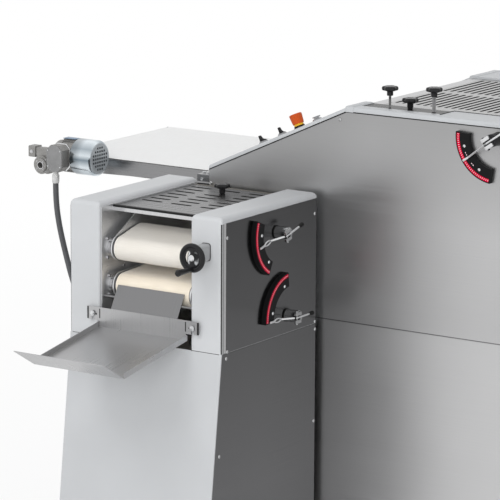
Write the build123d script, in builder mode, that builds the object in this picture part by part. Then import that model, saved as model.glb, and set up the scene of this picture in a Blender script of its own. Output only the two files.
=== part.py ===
"""Croissant rolling machine: a belt rolling head on a pedestal, set against a sheeting body with an
outfeed conveyor. Millimetres, +Z up, -Y towards the operator at the head, origin on the floor at the
middle of the footprint."""

import os
from math import atan2, cos, degrees, hypot, radians, sin, tan

from build123d import *

os.makedirs("parts", exist_ok=True)

# Rolling head
head_width = 505.0
head_depth = 470.0
cheek_width = 100.0
cheek_height = 375.0
cheek_wall = 8.0
cheek_top_wall = 20.0
cheek_round = 14.0
cheek_front_round = 6.0
panel_border_front = 21.0
panel_border_top = 17.0
panel_joint = 1.2
groove_width = 1.5
inner_plate = 3.0
pedestal_height = 800.0
pedestal_lean = 88.0
floor_gap = 60.0
sheet = 2.0
front_sheet = 3.0
base_plate = 6.0

# Rolling belts, placed from the head's front face and the cheeks' underside
belt_width = 244.0
belt_thickness = 2.0
belt_gap = 0.3
drum_radius = 31.5
drum_length = 248.0
drum_shaft = 10.0
rear_shaft = 8.0
upper_front = (59.0, 242.0)
upper_rear = (150.0, 264.0)
upper_peak = (154.0, 331.0)
lower_front = (67.0, 137.0)
lower_rear = (390.0, 156.0)
cradle_inset = 3.0
cradle_plate = 4.0
cradle_nose = 36.0
upper_tail = 16.0
lower_tail = 30.0
cradle_peak = 4.0
cradle_lug = 16.0
tie_radius = 7.0
upper_ties = (0.5,)
lower_ties = (0.4, 0.7)
running_fit = 0.05
flange_radius = 27.0
flange_thickness = 10.0

# Setting levers and their arc scales
scale_radius = 116.0
scale_outer = 124.0
scale_inner = 84.0
scale_thickness = 14.0
scale_span = 87.0
upper_pivot = (266.0, 295.0)
upper_scale_start = 156.8
upper_pointer = 195.0
lower_pivot = (320.0, 52.0)
lower_scale_start = 95.4
lower_pointer = 180.0
main_pivot = (815.5, 44.0)
main_scale_start = 175.0
main_pointer = 214.6
lever_shaft = 8.0
lever_hub_radius = 17.5
lever_hub_length = 31.0
lever_rod = 3.0
lever_front = 104.0
lever_tail = 66.0
lever_eye = 12.0
jaw_size = (25.0, 9.0, 4.0)
jaw_place = (9.5, 11.2)
pin_radius = 4.0
pin_offset = 6.0
pin_slack = 0.8
crank_radius = 12.0
crank_thickness = 4.0
bush_radius = 16.0

# Handwheel
wheel_inset = 50.5
wheel_height = 272.0
wheel_radius = 40.0
wheel_rim = 6.5
wheel_standoff = 65.0
wheel_hub_radius = 10.0
wheel_hub_length = 26.0
wheel_hub_show = 1.5
window_span = 100.0
window_width = 12.0
web_thickness = 6.0
spindle_radius = 6.0
spindle_depth = 150.0
housing_size = (27.0, 46.0)
housing_rise = 6.0
housing_depth = 40.0
grip_offset = 30.0
grip_length = 66.0
grip_radius = 9.0
grip_pin = 3.0
nut_size = (30.0, 24.0, 30.0)
nut_depth = 80.0

# Guard, chute and tray of the head
guard_front = 62.0
guard_sheet = 2.0
guard_top = 357.5
guard_side_gap = 2.5
guard_seat_gap = 0.3
guard_rows = 7
guard_row_pitch = 40.0
guard_first_row = 112.0
guard_columns = 3
slot_width = 10.0
slot_length = 66.0
crossbar_size = 12.0
hinge_rod = 4.0
hinge_barrel = 7.0
hinge_inset = 24.0
barrel_length = 30.0
guard_knob_depth = 375.0
chute_width = 222.0
chute_top = (30.0, 144.0)
chute_foot = (-6.0, 79.0)
tray_width = 296.0
tray_back_width = 288.0
ear_margin = 19.0
tray_standoff = 10.0
tray_back_top = 84.0
tray_back_foot = 28.0
tray_floor_run = 291.0
tray_floor_drop = 48.0
tray_lip_run = 90.0
tray_lip_rise = 53.0
tray_wall = 16.0
tray_bend = 4.0
ear_height = 37.0
stud_inset = 86.5
stud_radius = 4.0
stud_shoulder = 7.0
stud_clearance = 0.5

# Main body
main_gap = 20.0
main_depth = 835.0
main_height = 1421.0
main_left_reach = 122.5
main_right_reach = 1135.0
main_cheek_width = 100.0
bay_width = 590.0
slope_low = 1210.0
slope_end_reach = 341.6
cap_thickness = 15.0
slope_cap = 11.0
cap_overhang = 2.0
cap_round = 8.0
seam_height = 813.6
seam_gap = 3.0
side_frame = 8.0
transfer_window = (250.0, 150.0)
transfer_sill = 180.0
spacer_radius = 15.0
plate_left_reach = 363.5
plate_right_reach = 619.5
plate_inset = 32.0
plate_thickness = 4.0
cover_drop = 6.0
main_guard_left_reach = 378.5
main_guard_right_inset = 19.0
main_slot_pitch = 22.5
main_slot_width = 9.0
main_slot_length = 231.0
main_slot_web = 33.0
main_slot_bars = 2
main_slot_margin = 16.0
main_slot_shift = 18.5

# Star knobs: place along and across the knob plate, and the free length of the stem
knob_radius = 23.0
knob_lobes = 6
knob_lobe_radius = 7.5
knob_head = 13.0
knob_edge = 1.5
knob_hub_radius = 8.5
knob_hub_length = 14.0
knob_stem = 4.0
knob_tail = 14.0
top_knobs = {
    "top_knob_left": (440.0, 58.0, 34.0),
    "top_knob_middle": (493.9, 77.0, 3.5),
    "top_knob_right": (577.8, 63.0, 42.0),
}
guard_knob_stem = 2.0

# Controls along the slope, from its low end
control_inset = 36.0
control_bore = 11.0
selector_left_place = 179.0
selector_right_place = 248.0
estop_place = 311.0
button_place = 375.0
estop_top_radius = 18.5
estop_foot_radius = 16.2
estop_height = 29.0
estop_base_height = 7.0
collar_radius = 14.0
collar_height = 16.0
collar_show = 5.5
bezel_radius = 14.5
bezel_height = 6.0
bezel_bore = 8.0
selector_blade = 7.0
selector_length = 17.0
selector_height = 12.0
press_clearance = 0.4
estop_travel = 4.0
button_travel = 3.0

# Sheeting rollers
roller_radius = 35.0
roller_shaft = 12.0
roller_nip = 6.0
roller_drop = 76.0
roller_side_gap = 25.0
gap_roller_reach = 853.5
block_size = (92.0, 20.0, 80.0)
block_gap = 2.0
ledge_height = 6.0

# Conveyor and its gearmotor
conveyor_reach = 730.0
conveyor_inside = 56.0
conveyor_height = 1170.0
conveyor_belt_width = 560.0
conveyor_roller = 22.0
conveyor_shaft = 9.0
conveyor_plate = 4.0
conveyor_plate_gap = 4.0
plate_end_height = 50.0
plate_inner_height = 32.0
conveyor_nose = 16.0
arm_width = 50.0
arm_height = 20.0
arm_rise = 10.0
arm_inset = 12.0
bed_thickness = 3.0
gearbox_tail = 55.0
gearbox_side = 63.0
gearbox_width = 64.0
gearbox_round = 27.0
gear_centres = 35.0
gear_flange = 21.0
worm_case = 13.0
worm_cap = (24.0, 33.0)
worm_web = (44.0, 38.0)
motor_offset = 70.0
motor_flange = 42.0
motor_flange_length = 10.0
motor_radius = 46.0
motor_length = 56.0
cowl_lug = 12.0
motor_shaft = 5.0
cowl_radius = 53.0
cowl_length = 72.5
cowl_wall = 2.0
cowl_round = 12.0
cowl_hole = 6.0
cowl_pitch = 10.5
cowl_rings = 37.0
fan_radius = 44.0
fan_blades = 6
blade_thickness = 2.5
box_size = (56.0, 78.0, 40.0)
box_corner = 14.0
box_shift = 18.0
gland_radius = 11.0
gland_length = 36.0
inlet_inset = 50.0
conduit_radius = 8.5

# Drive inside the main body, and the feet
drive_radius = 75.0
drive_length = 260.0
drive_reach = 520.0
drive_gearbox = 150.0
foot_radius = 30.0
foot_pad = 12.0
foot_stem = 8.0
foot_inset = 60.0

# Reference places
hx = (conveyor_reach + gearbox_tail - main_right_reach) / 2
tray_reach = tray_standoff + sheet + tray_floor_run + tray_lip_run
hy = (tray_reach - head_depth - main_gap - main_depth) / 2
hz = pedestal_height
head_back = hy + head_depth
main_front = head_back + main_gap
main_back = main_front + main_depth
main_left = hx - main_left_reach
main_right = hx + main_right_reach
near_inner = main_front + main_cheek_width
far_inner = near_inner + bay_width
bay_middle = near_inner + bay_width / 2
slope_end = hx + slope_end_reach
slope = atan2(main_height - slope_low, slope_end - main_left)
cap_step = slope_cap / cos(slope)
cap_knee = main_left + (main_height - cap_thickness - slope_low + cap_step) / tan(slope)
half_head = head_width / 2
cheek_inner = half_head - cheek_width
plate_face = cheek_inner - inner_plate
stud_side = half_head - stud_inset
drive_x = hx - conveyor_reach
drive_z = conveyor_height - conveyor_roller - belt_gap - belt_thickness
tail_x = main_left + conveyor_inside
gear_y = near_inner - gearbox_side
motor_z = drive_z + gear_centres


def save(piece, label):
    piece.label = label
    export_step(piece, f"parts/{label}.step")


def block(x, y, z, mode=Mode.ADD):
    spans = [sorted(pair) for pair in (x, y, z)]
    with Locations(tuple((low + high) / 2 for low, high in spans)):
        Box(*(high - low for low, high in spans), mode=mode)


def rod_x(x, y, z, radius, mode=Mode.ADD):
    with Locations(((x[0] + x[1]) / 2, y, z)):
        Cylinder(radius, abs(x[1] - x[0]), rotation=(0, 90, 0), mode=mode)


def rod_y(x, y, z, radius, mode=Mode.ADD):
    with Locations((x, (y[0] + y[1]) / 2, z)):
        Cylinder(radius, abs(y[1] - y[0]), rotation=(90, 0, 0), mode=mode)


def rod_z(x, y, z, radius, mode=Mode.ADD):
    with Locations((x, y, (z[0] + z[1]) / 2)):
        Cylinder(radius, abs(z[1] - z[0]), mode=mode)


def on_head(point):
    """A place given from the head's front face and underside, in the frame's Y and Z."""
    return hy + point[0], hz + point[1]


# Pedestal and head shells
with BuildPart() as pedestal_front_panel:
    with BuildSketch(Plane.YZ.offset(hx)):
        with BuildLine():
            Polyline(
                (hy, hz),
                (hy + front_sheet, hz),
                (hy + front_sheet - pedestal_lean, floor_gap),
                (hy - pedestal_lean, floor_gap),
                close=True,
            )
        make_face()
    extrude(amount=half_head, both=True)
save(pedestal_front_panel.part, "pedestal_front_panel")

with BuildPart() as side_panels:
    for side in (-1, 1):
        outer = hx + side * half_head
        block(
            (outer, outer - side * sheet),
            (hy + panel_border_front + panel_joint, head_back),
            (hz + panel_joint, hz + cheek_height - panel_border_top - panel_joint),
        )
        with BuildSketch(Plane.YZ.offset(outer)):
            with BuildLine():
                Polyline(
                    (hy + front_sheet, hz),
                    (head_back, hz),
                    (head_back, floor_gap),
                    (hy + front_sheet - pedestal_lean, floor_gap),
                    close=True,
                )
            make_face()
        extrude(amount=-side * sheet)
    for pivot in (upper_pivot, lower_pivot):
        y, z = on_head(pivot)
        rod_x((hx + half_head - sheet, hx + half_head), y, z, lever_shaft + 1, mode=Mode.SUBTRACT)
save(side_panels.part, "side_panels")

plate_front = hy + front_sheet - pedestal_lean * (1 - base_plate / (hz - floor_gap))
with BuildPart() as base_plates:
    floors = (
        ((hx - half_head + sheet, hx + half_head - sheet), (plate_front, head_back - sheet)),
        ((main_left + sheet, main_right - sheet), (main_front + sheet, main_back - sheet)),
    )
    for x, y in floors:
        block(x, y, (floor_gap, floor_gap + base_plate))
    block(
        (hx - half_head + sheet, hx + half_head - sheet),
        (hy + front_sheet, head_back - sheet),
        (hz - base_plate, hz),
    )
save(base_plates.part, "base_plates")

with BuildPart() as levelling_feet:
    for x, y in floors:
        places = [
            (foot_x, foot_y)
            for foot_x in (x[0] + foot_inset, x[1] - foot_inset)
            for foot_y in (y[0] + foot_inset, y[1] - foot_inset)
        ]
        for foot_x, foot_y in places:
            with BuildSketch(Plane.XZ.offset(-foot_y)) as foot_profile:
                with BuildLine():
                    Polyline(
                        (foot_x, 0),
                        (foot_x + foot_radius, 0),
                        (foot_x + foot_radius, foot_pad / 2),
                        (foot_x + foot_stem + 4, foot_pad),
                        (foot_x + foot_stem, foot_pad + 4),
                        (foot_x + foot_stem, floor_gap),
                        (foot_x, floor_gap),
                        close=True,
                    )
                make_face()
            revolve(axis=Axis((foot_x, foot_y, 0), (0, 0, 1)))
save(levelling_feet.part, "levelling_feet")

wheel_x = hx + half_head - wheel_inset
wheel_z = hz + wheel_height
for side, cheek_name in ((-1, "head_left_cheek"), (1, "head_right_cheek")):
    inner = hx + side * cheek_inner
    outer = hx + side * half_head
    with BuildPart() as cheek:
        block((inner, outer), (hy, head_back), (hz, hz + cheek_height))
        fillet(cheek.faces().sort_by(Axis.Y)[0].edges().filter_by(Axis.Z), cheek_front_round)
        fillet(cheek.faces().sort_by(Axis.Z)[-1].edges(), cheek_round)
        block(
            (inner, outer - side * cheek_wall),
            (hy + cheek_wall, head_back - cheek_wall),
            (hz + cheek_wall, hz + cheek_height - cheek_top_wall),
            mode=Mode.SUBTRACT,
        )
        block(
            (outer - side * sheet, outer),
            (hy + panel_border_front, head_back),
            (hz, hz + cheek_height - panel_border_top),
            mode=Mode.SUBTRACT,
        )
        groove_y = hy + panel_border_front / 2
        block(
            (outer - side * sheet, outer),
            (groove_y, groove_y + groove_width),
            (hz, hz + cheek_height - panel_border_top),
            mode=Mode.SUBTRACT,
        )
        stud_x = hx + side * stud_side
        stud_z = hz + tray_back_top - ear_height / 2
        rod_y(stud_x, (hy - tray_standoff + panel_joint, hy + 1), stud_z, stud_shoulder)
        rod_y(stud_x, (hy - tray_standoff - 3 * sheet, hy + 1), stud_z, stud_radius)
        if side > 0:
            rod_y(wheel_x, (hy, hy + cheek_wall), wheel_z, spindle_radius + 1, mode=Mode.SUBTRACT)
            for pivot in (upper_pivot, lower_pivot):
                y, z = on_head(pivot)
                rod_x((outer - cheek_wall, outer), y, z, lever_shaft + 1, mode=Mode.SUBTRACT)
    save(cheek.part, cheek_name)

with BuildPart() as head_inner_plates:
    for side in (-1, 1):
        face = (hx + side * plate_face, hx + side * cheek_inner)
        plate_z = (hz + sheet, hz + cheek_height - cheek_round)
        block(face, (hy + cheek_wall, head_back - cheek_wall), plate_z)
        for centre in (upper_front, lower_front):
            y, z = on_head(centre)
            rod_x(face, y, z, drum_shaft + 3, mode=Mode.SUBTRACT)
        if side > 0:
            for pivot in (upper_pivot, lower_pivot):
                y, z = on_head(pivot)
                rod_x(face, y, z, lever_shaft + 1, mode=Mode.SUBTRACT)
save(head_inner_plates.part, "head_inner_plates")

window_z = (hz + transfer_sill, hz + transfer_sill + transfer_window[1])
window_x = (hx - transfer_window[0] / 2, hx + transfer_window[0] / 2)
with BuildPart() as head_back_plate:
    block(
        (hx - cheek_inner, hx + cheek_inner),
        (head_back - cheek_wall, head_back),
        (hz, hz + cheek_height - cheek_top_wall),
    )
    block(window_x, (head_back - cheek_wall, head_back), window_z, mode=Mode.SUBTRACT)
    for spacer_side in (-1, 1):
        spacer_x = hx + spacer_side * (cheek_inner - spacer_radius)
        for spacer_z in (hz + transfer_sill / 3, hz + cheek_height - cheek_top_wall - spacer_radius):
            if spacer_x > main_left + spacer_radius:
                rod_y(spacer_x, (head_back - 1, main_front), spacer_z, spacer_radius)
save(head_back_plate.part, "head_back_plate")

# Hinge rods of both guards and the bar that carries the head guard's front edge
hinge_y = head_back - hinge_inset
hinge_z = hz + guard_top - guard_sheet - hinge_barrel + 1
main_hinge_x = main_right - main_guard_right_inset + hinge_barrel
main_guard_low = main_height - cover_drop - guard_sheet
main_hinge_z = main_guard_low - hinge_barrel + 1
with BuildPart() as guard_bars:
    bar_top = hz + guard_top - guard_sheet - guard_seat_gap
    block(
        (hx - plate_face, hx + plate_face),
        (hy + guard_front, hy + guard_front + crossbar_size),
        (bar_top - crossbar_size, bar_top),
    )
    rod_x((hx - plate_face, hx + plate_face), hinge_y, hinge_z, hinge_rod)
    rod_y(main_hinge_x, (near_inner, far_inner), main_hinge_z, hinge_rod)
save(guard_bars.part, "guard_bars")

shaft_bushes = []
for side in (-1, 1):
    for centre in (upper_front, lower_front):
        shaft_bushes.append((side, on_head(centre), flange_radius, drum_shaft))
for pivot in (upper_pivot, lower_pivot):
    shaft_bushes.append((1, on_head(pivot), bush_radius, lever_shaft))
lever_x = hx + main_pivot[0]
lever_z = main_height - main_pivot[1]
with BuildPart() as bearing_flanges:
    for side, (y, z), flange, bore in shaft_bushes:
        span = (hx + side * (plate_face - flange_thickness), hx + side * plate_face)
        rod_x(span, y, z, flange)
        rod_x(span, y, z, bore + running_fit, mode=Mode.SUBTRACT)
    bush = (near_inner - side_frame - flange_thickness, near_inner - side_frame)
    rod_y(lever_x, bush, lever_z, bush_radius)
    rod_y(lever_x, bush, lever_z, lever_shaft + running_fit, mode=Mode.SUBTRACT)
save(bearing_flanges.part, "bearing_flanges")


# Rolling belts, drums and cradles
def drum(label, centre, shaft, reach):
    y, z = on_head(centre)
    with BuildPart() as roller:
        rod_x((hx - drum_length / 2, hx + drum_length / 2), y, z, drum_radius)
        rod_x((hx - reach, hx + reach), y, z, shaft)
    save(roller.part, label)


def belt(label, plane, ends, radius, width):
    with BuildPart() as loop:
        inside = radius + belt_gap
        for reach, mode in ((inside + belt_thickness, Mode.ADD), (inside, Mode.SUBTRACT)):
            with BuildSketch(plane):
                with Locations(*ends):
                    Circle(reach)
                make_hull()
            extrude(amount=width / 2, both=True, mode=mode)
    save(loop.part, label)


cradle_face = drum_length / 2 + cradle_inset
front_reach = plate_face + inner_plate
rear_reach = cradle_face + cradle_plate


def pin_place(front, pivot, pointer, start):
    """Rest place and angle of an eccentric pin that faces the cradle's hinge at mid-scale."""
    turn = atan2(pivot[1] - front[1], pivot[0] - front[0])
    turn += radians(180 + pointer - start - scale_span / 2)
    return (pivot[0] + pin_offset * cos(turn), pivot[1] + pin_offset * sin(turn)), turn


def cradle(label, front, rear, pin, corner, tail, ties):
    slot_angle = degrees(atan2(pin[1] - front[1], pin[0] - front[0]))
    front_at, rear_at, corner_at, pin_at = (on_head(place) for place in (front, rear, corner, pin))
    with BuildPart() as carrier:
        for side in (-1, 1):
            with BuildSketch(Plane.YZ.offset(hx + side * cradle_face)):
                with Locations(front_at):
                    Circle(cradle_nose)
                with Locations(rear_at):
                    Circle(tail)
                with Locations(corner_at):
                    Circle(cradle_peak)
                if side > 0:
                    with Locations(pin_at):
                        Circle(cradle_lug)
                make_hull()
                with Locations(front_at):
                    Circle(drum_shaft + running_fit, mode=Mode.SUBTRACT)
                with Locations(rear_at):
                    Circle(rear_shaft + running_fit, mode=Mode.SUBTRACT)
                if side > 0:
                    slot_height = 2 * (pin_radius + pin_slack)
                    with Locations(Location((*pin_at, 0), (0, 0, slot_angle))):
                        SlotOverall(slot_height + pin_offset, slot_height, mode=Mode.SUBTRACT)
            extrude(amount=side * cradle_plate)
        for share in ties:
            tie_y = front_at[0] + share * (rear_at[0] - front_at[0])
            tie_z = front_at[1] + share * (rear_at[1] - front_at[1])
            rod_x((hx - cradle_face, hx + cradle_face), tie_y, tie_z, tie_radius)
    save(carrier.part, label)


belt_plane = Plane.YZ.offset(hx)
drum("upper_front_drum", upper_front, drum_shaft, front_reach)
drum("upper_rear_drum", upper_rear, rear_shaft, rear_reach)
drum("lower_front_drum", lower_front, drum_shaft, front_reach)
drum("lower_rear_drum", lower_rear, rear_shaft, rear_reach)
belt("upper_belt", belt_plane, [on_head(upper_front), on_head(upper_rear)], drum_radius, belt_width)
belt("lower_belt", belt_plane, [on_head(lower_front), on_head(lower_rear)], drum_radius, belt_width)
upper_pin, upper_turn = pin_place(upper_front, upper_pivot, upper_pointer, upper_scale_start)
lower_pin, lower_turn = pin_place(lower_front, lower_pivot, lower_pointer, lower_scale_start)
cradle("upper_cradle", upper_front, upper_rear, upper_pin, upper_peak, upper_tail, upper_ties)
cradle("lower_cradle", lower_front, lower_rear, lower_pin, lower_rear, lower_tail, lower_ties)


# Arc scales and levers
upper_scale_plane = Plane((hx + half_head, *on_head(upper_pivot)), x_dir=(0, 1, 0), z_dir=(1, 0, 0))
lower_scale_plane = Plane((hx + half_head, *on_head(lower_pivot)), x_dir=(0, 1, 0), z_dir=(1, 0, 0))
main_scale_plane = Plane((lever_x, main_front, lever_z), x_dir=(1, 0, 0), z_dir=(0, -1, 0))
with BuildPart() as scale_plates:
    for plane, start in (
        (upper_scale_plane, upper_scale_start),
        (lower_scale_plane, lower_scale_start),
        (main_scale_plane, main_scale_start),
    ):
        with BuildSketch(plane):
            with BuildLine():
                rim = CenterArc((0, 0), scale_outer, start, scale_span)
                root = CenterArc((0, 0), scale_inner, start, scale_span)
                Line(rim @ 0, root @ 0)
                Line(rim @ 1, root @ 1)
            make_face()
        extrude(amount=scale_thickness)
save(scale_plates.part, "scale_plates")


def lever(label, scale_plane, pointer, shaft_depth, pin_angle, pin_length):
    """Shaft with hub, fork jaws and pointer rod outside the panel, crank and eccentric pin inside."""
    along = scale_plane.x_dir * cos(radians(pointer)) + scale_plane.y_dir * sin(radians(pointer))
    turned = Plane(scale_plane.origin, x_dir=along, z_dir=scale_plane.z_dir)
    jaw_length, jaw_width, jaw_depth = jaw_size
    jaw_reach, jaw_spread = jaw_place
    rod_level = scale_thickness + lever_hub_length
    tip_level = scale_thickness + panel_joint + lever_rod
    with BuildPart() as arm:
        with BuildSketch(scale_plane.offset(-shaft_depth)):
            Circle(lever_shaft)
        extrude(amount=shaft_depth + scale_thickness + lever_hub_length)
        with BuildSketch(scale_plane.offset(panel_joint)):
            Circle(lever_hub_radius)
        extrude(amount=rod_level - lever_rod - panel_joint)
        with BuildSketch(turned.offset(rod_level - jaw_depth)):
            with Locations((jaw_reach, jaw_spread), (jaw_reach, -jaw_spread)):
                Rectangle(jaw_length, jaw_width)
        extrude(amount=jaw_depth + lever_rod)
        with BuildLine(Plane(turned.origin, x_dir=turned.x_dir, z_dir=turned.y_dir)) as rod_path:
            Polyline(
                (-lever_tail, -rod_level),
                (0.55 * lever_front, -rod_level),
                (0.85 * lever_front, -tip_level),
                (1.06 * lever_front, -tip_level),
            )
        with BuildSketch(Plane(rod_path.line @ 0, z_dir=rod_path.line % 0)):
            Circle(lever_rod)
        sweep(path=rod_path.line, transition=Transition.RIGHT)
        with BuildSketch(turned.offset(rod_level - lever_eye / 2)):
            with Locations((-lever_tail, 0)):
                Circle(2 * lever_rod)
        extrude(amount=lever_eye)
        with BuildSketch(scale_plane.offset(-shaft_depth)):
            Circle(crank_radius)
        extrude(amount=-crank_thickness)
        with BuildSketch(scale_plane.offset(-shaft_depth - crank_thickness)):
            with Locations((pin_offset * cos(pin_angle), pin_offset * sin(pin_angle))):
                Circle(pin_radius)
        extrude(amount=-pin_length)
    save(arm.part, label)


crank_start = plate_face - flange_thickness - panel_joint
head_shaft_depth = half_head - crank_start
head_pin_length = crank_start - crank_thickness - cradle_face + 1
lever("upper_lever", upper_scale_plane, upper_pointer, head_shaft_depth, upper_turn, head_pin_length)
lever("lower_lever", lower_scale_plane, lower_pointer, head_shaft_depth, lower_turn, head_pin_length)
main_shaft_depth = main_cheek_width + block_gap - crank_thickness - panel_joint
main_pin_length = panel_joint + block_size[1] / 2
main_turn = radians(main_pointer - main_scale_start - scale_span / 2 - 90)
lever("main_lever", main_scale_plane, main_pointer, main_shaft_depth, main_turn, main_pin_length)

# Handwheel on the right cheek
with BuildPart() as handwheel_housing:
    with BuildSketch(Plane.XZ.offset(-hy)):
        with Locations((wheel_x, wheel_z + housing_rise)):
            RectangleRounded(*housing_size, housing_size[0] / 4)
    extrude(amount=housing_depth)
    fillet(handwheel_housing.faces().sort_by(Axis.Y)[0].edges(), housing_size[0] / 5)
    rod_y(wheel_x, (hy - housing_depth, hy), wheel_z, spindle_radius + running_fit, mode=Mode.SUBTRACT)
save(handwheel_housing.part, "handwheel_housing")

wheel_y = hy - wheel_standoff
grip_z = wheel_z - grip_offset
grip_start = wheel_y - wheel_rim
with BuildPart() as handwheel:
    with BuildSketch(Plane.YZ.offset(wheel_x)):
        with Locations((wheel_y, wheel_z + wheel_radius - wheel_rim)):
            Ellipse(wheel_rim + 1, wheel_rim)
    revolve(axis=Axis((wheel_x, wheel_y, wheel_z), (0, 1, 0)))
    web = (wheel_y - web_thickness / 2, wheel_y + web_thickness / 2)
    rod_y(wheel_x, web, wheel_z, wheel_radius - wheel_rim)
    with BuildSketch(Plane.XZ.offset(web_thickness - wheel_y)):
        window_middle = wheel_hub_radius + window_width / 2 + 1
        for start in (180 - window_span / 2, -window_span / 2):
            with BuildLine():
                CenterArc((wheel_x, wheel_z), window_middle, start, window_span)
                offset(amount=window_width / 2)
            make_face()
    extrude(amount=-2 * web_thickness, mode=Mode.SUBTRACT)
    hub = (web[0] - wheel_hub_show, wheel_y + wheel_hub_length / 2)
    rod_y(wheel_x, hub, wheel_z, wheel_hub_radius)
    rod_y(wheel_x, (wheel_y, hy + spindle_depth), wheel_z, spindle_radius)
    rod_y(wheel_x, (grip_start - grip_length + 6, wheel_y), grip_z, grip_pin)
save(handwheel.part, "handwheel")

with BuildPart() as handwheel_grip:
    with BuildSketch(Plane.YZ.offset(wheel_x)):
        with BuildLine():
            tip = grip_start - grip_length
            Polyline(
                (tip, grip_z),
                (tip, grip_z + 0.7 * grip_radius),
                (tip + 0.5 * grip_radius, grip_z + grip_radius),
                (grip_start - 1, grip_z + 0.65 * grip_radius),
                (grip_start - 1, grip_z),
                close=True,
            )
        make_face()
    revolve(axis=Axis((wheel_x, wheel_y, grip_z), (0, 1, 0)))
    bore = (grip_start - grip_length + 5, wheel_y)
    rod_y(wheel_x, bore, grip_z, grip_pin + running_fit, mode=Mode.SUBTRACT)
save(handwheel_grip.part, "handwheel_grip")

with BuildPart() as spindle_nut:
    with Locations((wheel_x, hy + nut_depth + nut_size[1] / 2, wheel_z)):
        Box(*nut_size)
    nut_span = (hy + nut_depth, hy + nut_depth + nut_size[1])
    rod_y(wheel_x, nut_span, wheel_z, spindle_radius + running_fit, mode=Mode.SUBTRACT)
save(spindle_nut.part, "spindle_nut")


# Guards
def barrels(places, place_rod):
    for mode, radius in ((Mode.ADD, hinge_barrel), (Mode.SUBTRACT, hinge_rod + running_fit)):
        for place in places:
            place_rod((place - barrel_length / 2, place + barrel_length / 2), radius, mode)


guard_half = plate_face - guard_side_gap
guard_low = hz + guard_top - guard_sheet
knob_y = hy + guard_knob_depth
with BuildPart() as head_guard:
    guard_z = (guard_low, guard_low + guard_sheet)
    block((hx - guard_half, hx + guard_half), (hy + guard_front - 2, hinge_y), guard_z)
    column_pitch = 2 * guard_half / guard_columns
    with BuildSketch(Plane.XY.offset(guard_low)):
        for row in range(guard_rows):
            slot_y = hy + guard_front + guard_first_row + row * guard_row_pitch
            for column in range(guard_columns):
                slot_x = hx + (column - (guard_columns - 1) / 2) * column_pitch
                # The sheet stays whole under the star knob
                beside_knob = abs(slot_x - hx) > slot_length / 2 + knob_radius
                if beside_knob or abs(slot_y - knob_y) > guard_row_pitch / 2:
                    with Locations((slot_x, slot_y)):
                        SlotOverall(slot_length, slot_width)
    extrude(amount=guard_sheet, mode=Mode.SUBTRACT)
    rod_z(hx, knob_y, guard_z, knob_stem + running_fit, mode=Mode.SUBTRACT)
    barrels(
        (hx - guard_half / 2, hx + guard_half / 2),
        lambda span, radius, mode: rod_x(span, hinge_y, hinge_z, radius, mode),
    )
save(head_guard.part, "head_guard")

main_guard_left = hx + main_guard_left_reach
main_guard_right = main_right - main_guard_right_inset
with BuildPart() as main_guard:
    guard_y = (near_inner + guard_side_gap, far_inner - guard_side_gap)
    block((main_guard_left, main_hinge_x), guard_y, (main_guard_low, main_guard_low + guard_sheet))
    slot_span = main_guard_right - main_guard_left - 2 * main_slot_margin
    slot_count = int(slot_span / main_slot_pitch) + 1
    slot_middle = main_guard_left + main_slot_margin + (slot_count - 1) * main_slot_pitch / 2
    bar_pitch = main_slot_length + main_slot_web
    with BuildSketch(Plane.XY.offset(main_guard_low)):
        with Locations((slot_middle, bay_middle + main_slot_shift)):
            with GridLocations(main_slot_pitch, bar_pitch, slot_count, main_slot_bars):
                SlotOverall(main_slot_length, main_slot_width, rotation=90)
    extrude(amount=guard_sheet, mode=Mode.SUBTRACT)
    barrels(
        (bay_middle - bay_width / 3, bay_middle + bay_width / 3),
        lambda span, radius, mode: rod_y(main_hinge_x, span, main_hinge_z, radius, mode),
    )
save(main_guard.part, "main_guard")

# Chute and tray
with BuildPart() as chute_plate:
    with BuildSketch(Plane.YZ.offset(hx)):
        with BuildLine():
            Line(on_head(chute_foot), on_head(chute_top))
            offset(amount=sheet, side=Side.RIGHT)
        make_face()
    extrude(amount=chute_width / 2, both=True)
    chute_rod = ((chute_top[0] + chute_foot[0]) / 2 + hinge_rod + sheet, (chute_top[1] + chute_foot[1]) / 2)
    y, z = on_head(chute_rod)
    rod_x((hx - plate_face, hx + plate_face), y, z, hinge_rod)
save(chute_plate.part, "chute_plate")

tray_back = hy - tray_standoff - sheet
floor_back = (tray_back + sheet, hz + tray_back_foot)
floor_front = (tray_back - tray_floor_run, hz + tray_back_foot - tray_floor_drop)
lip_end = (floor_front[0] - tray_lip_run, floor_front[1] + tray_lip_rise)
with BuildPart() as tray:
    with BuildSketch(Plane.YZ.offset(hx)):
        with BuildLine():
            FilletPolyline(floor_back, floor_front, lip_end, radius=tray_bend)
            offset(amount=sheet, side=Side.RIGHT)
        make_face()
    extrude(amount=tray_width / 2, both=True)
    block(
        (hx - tray_back_width / 2, hx + tray_back_width / 2),
        (tray_back, tray_back + sheet),
        (hz + tray_back_foot, hz + tray_back_top),
    )
    for side in (-1, 1):
        with BuildSketch(Plane.YZ.offset(hx + side * tray_width / 2)):
            with BuildLine():
                Polyline(
                    floor_back,
                    (floor_back[0], floor_back[1] + tray_wall),
                    (floor_front[0], floor_front[1] + tray_wall),
                    floor_front,
                    close=True,
                )
            make_face()
        extrude(amount=-side * sheet)
        ear = (hx + side * (tray_back_width / 2 - sheet), hx + side * (stud_side + ear_margin))
        ear_low = hz + tray_back_top - ear_height
        block(ear, (tray_back, tray_back + sheet), (ear_low, hz + tray_back_top))
        stud_x = hx + side * stud_side
        stud_z = ear_low + ear_height / 2
        hook = stud_radius + stud_clearance
        rod_y(stud_x, (tray_back, tray_back + sheet), stud_z, hook, mode=Mode.SUBTRACT)
        block(
            (stud_x - hook, stud_x + hook),
            (tray_back, tray_back + sheet),
            (ear_low, stud_z),
            mode=Mode.SUBTRACT,
        )
save(tray.part, "tray")


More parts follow.
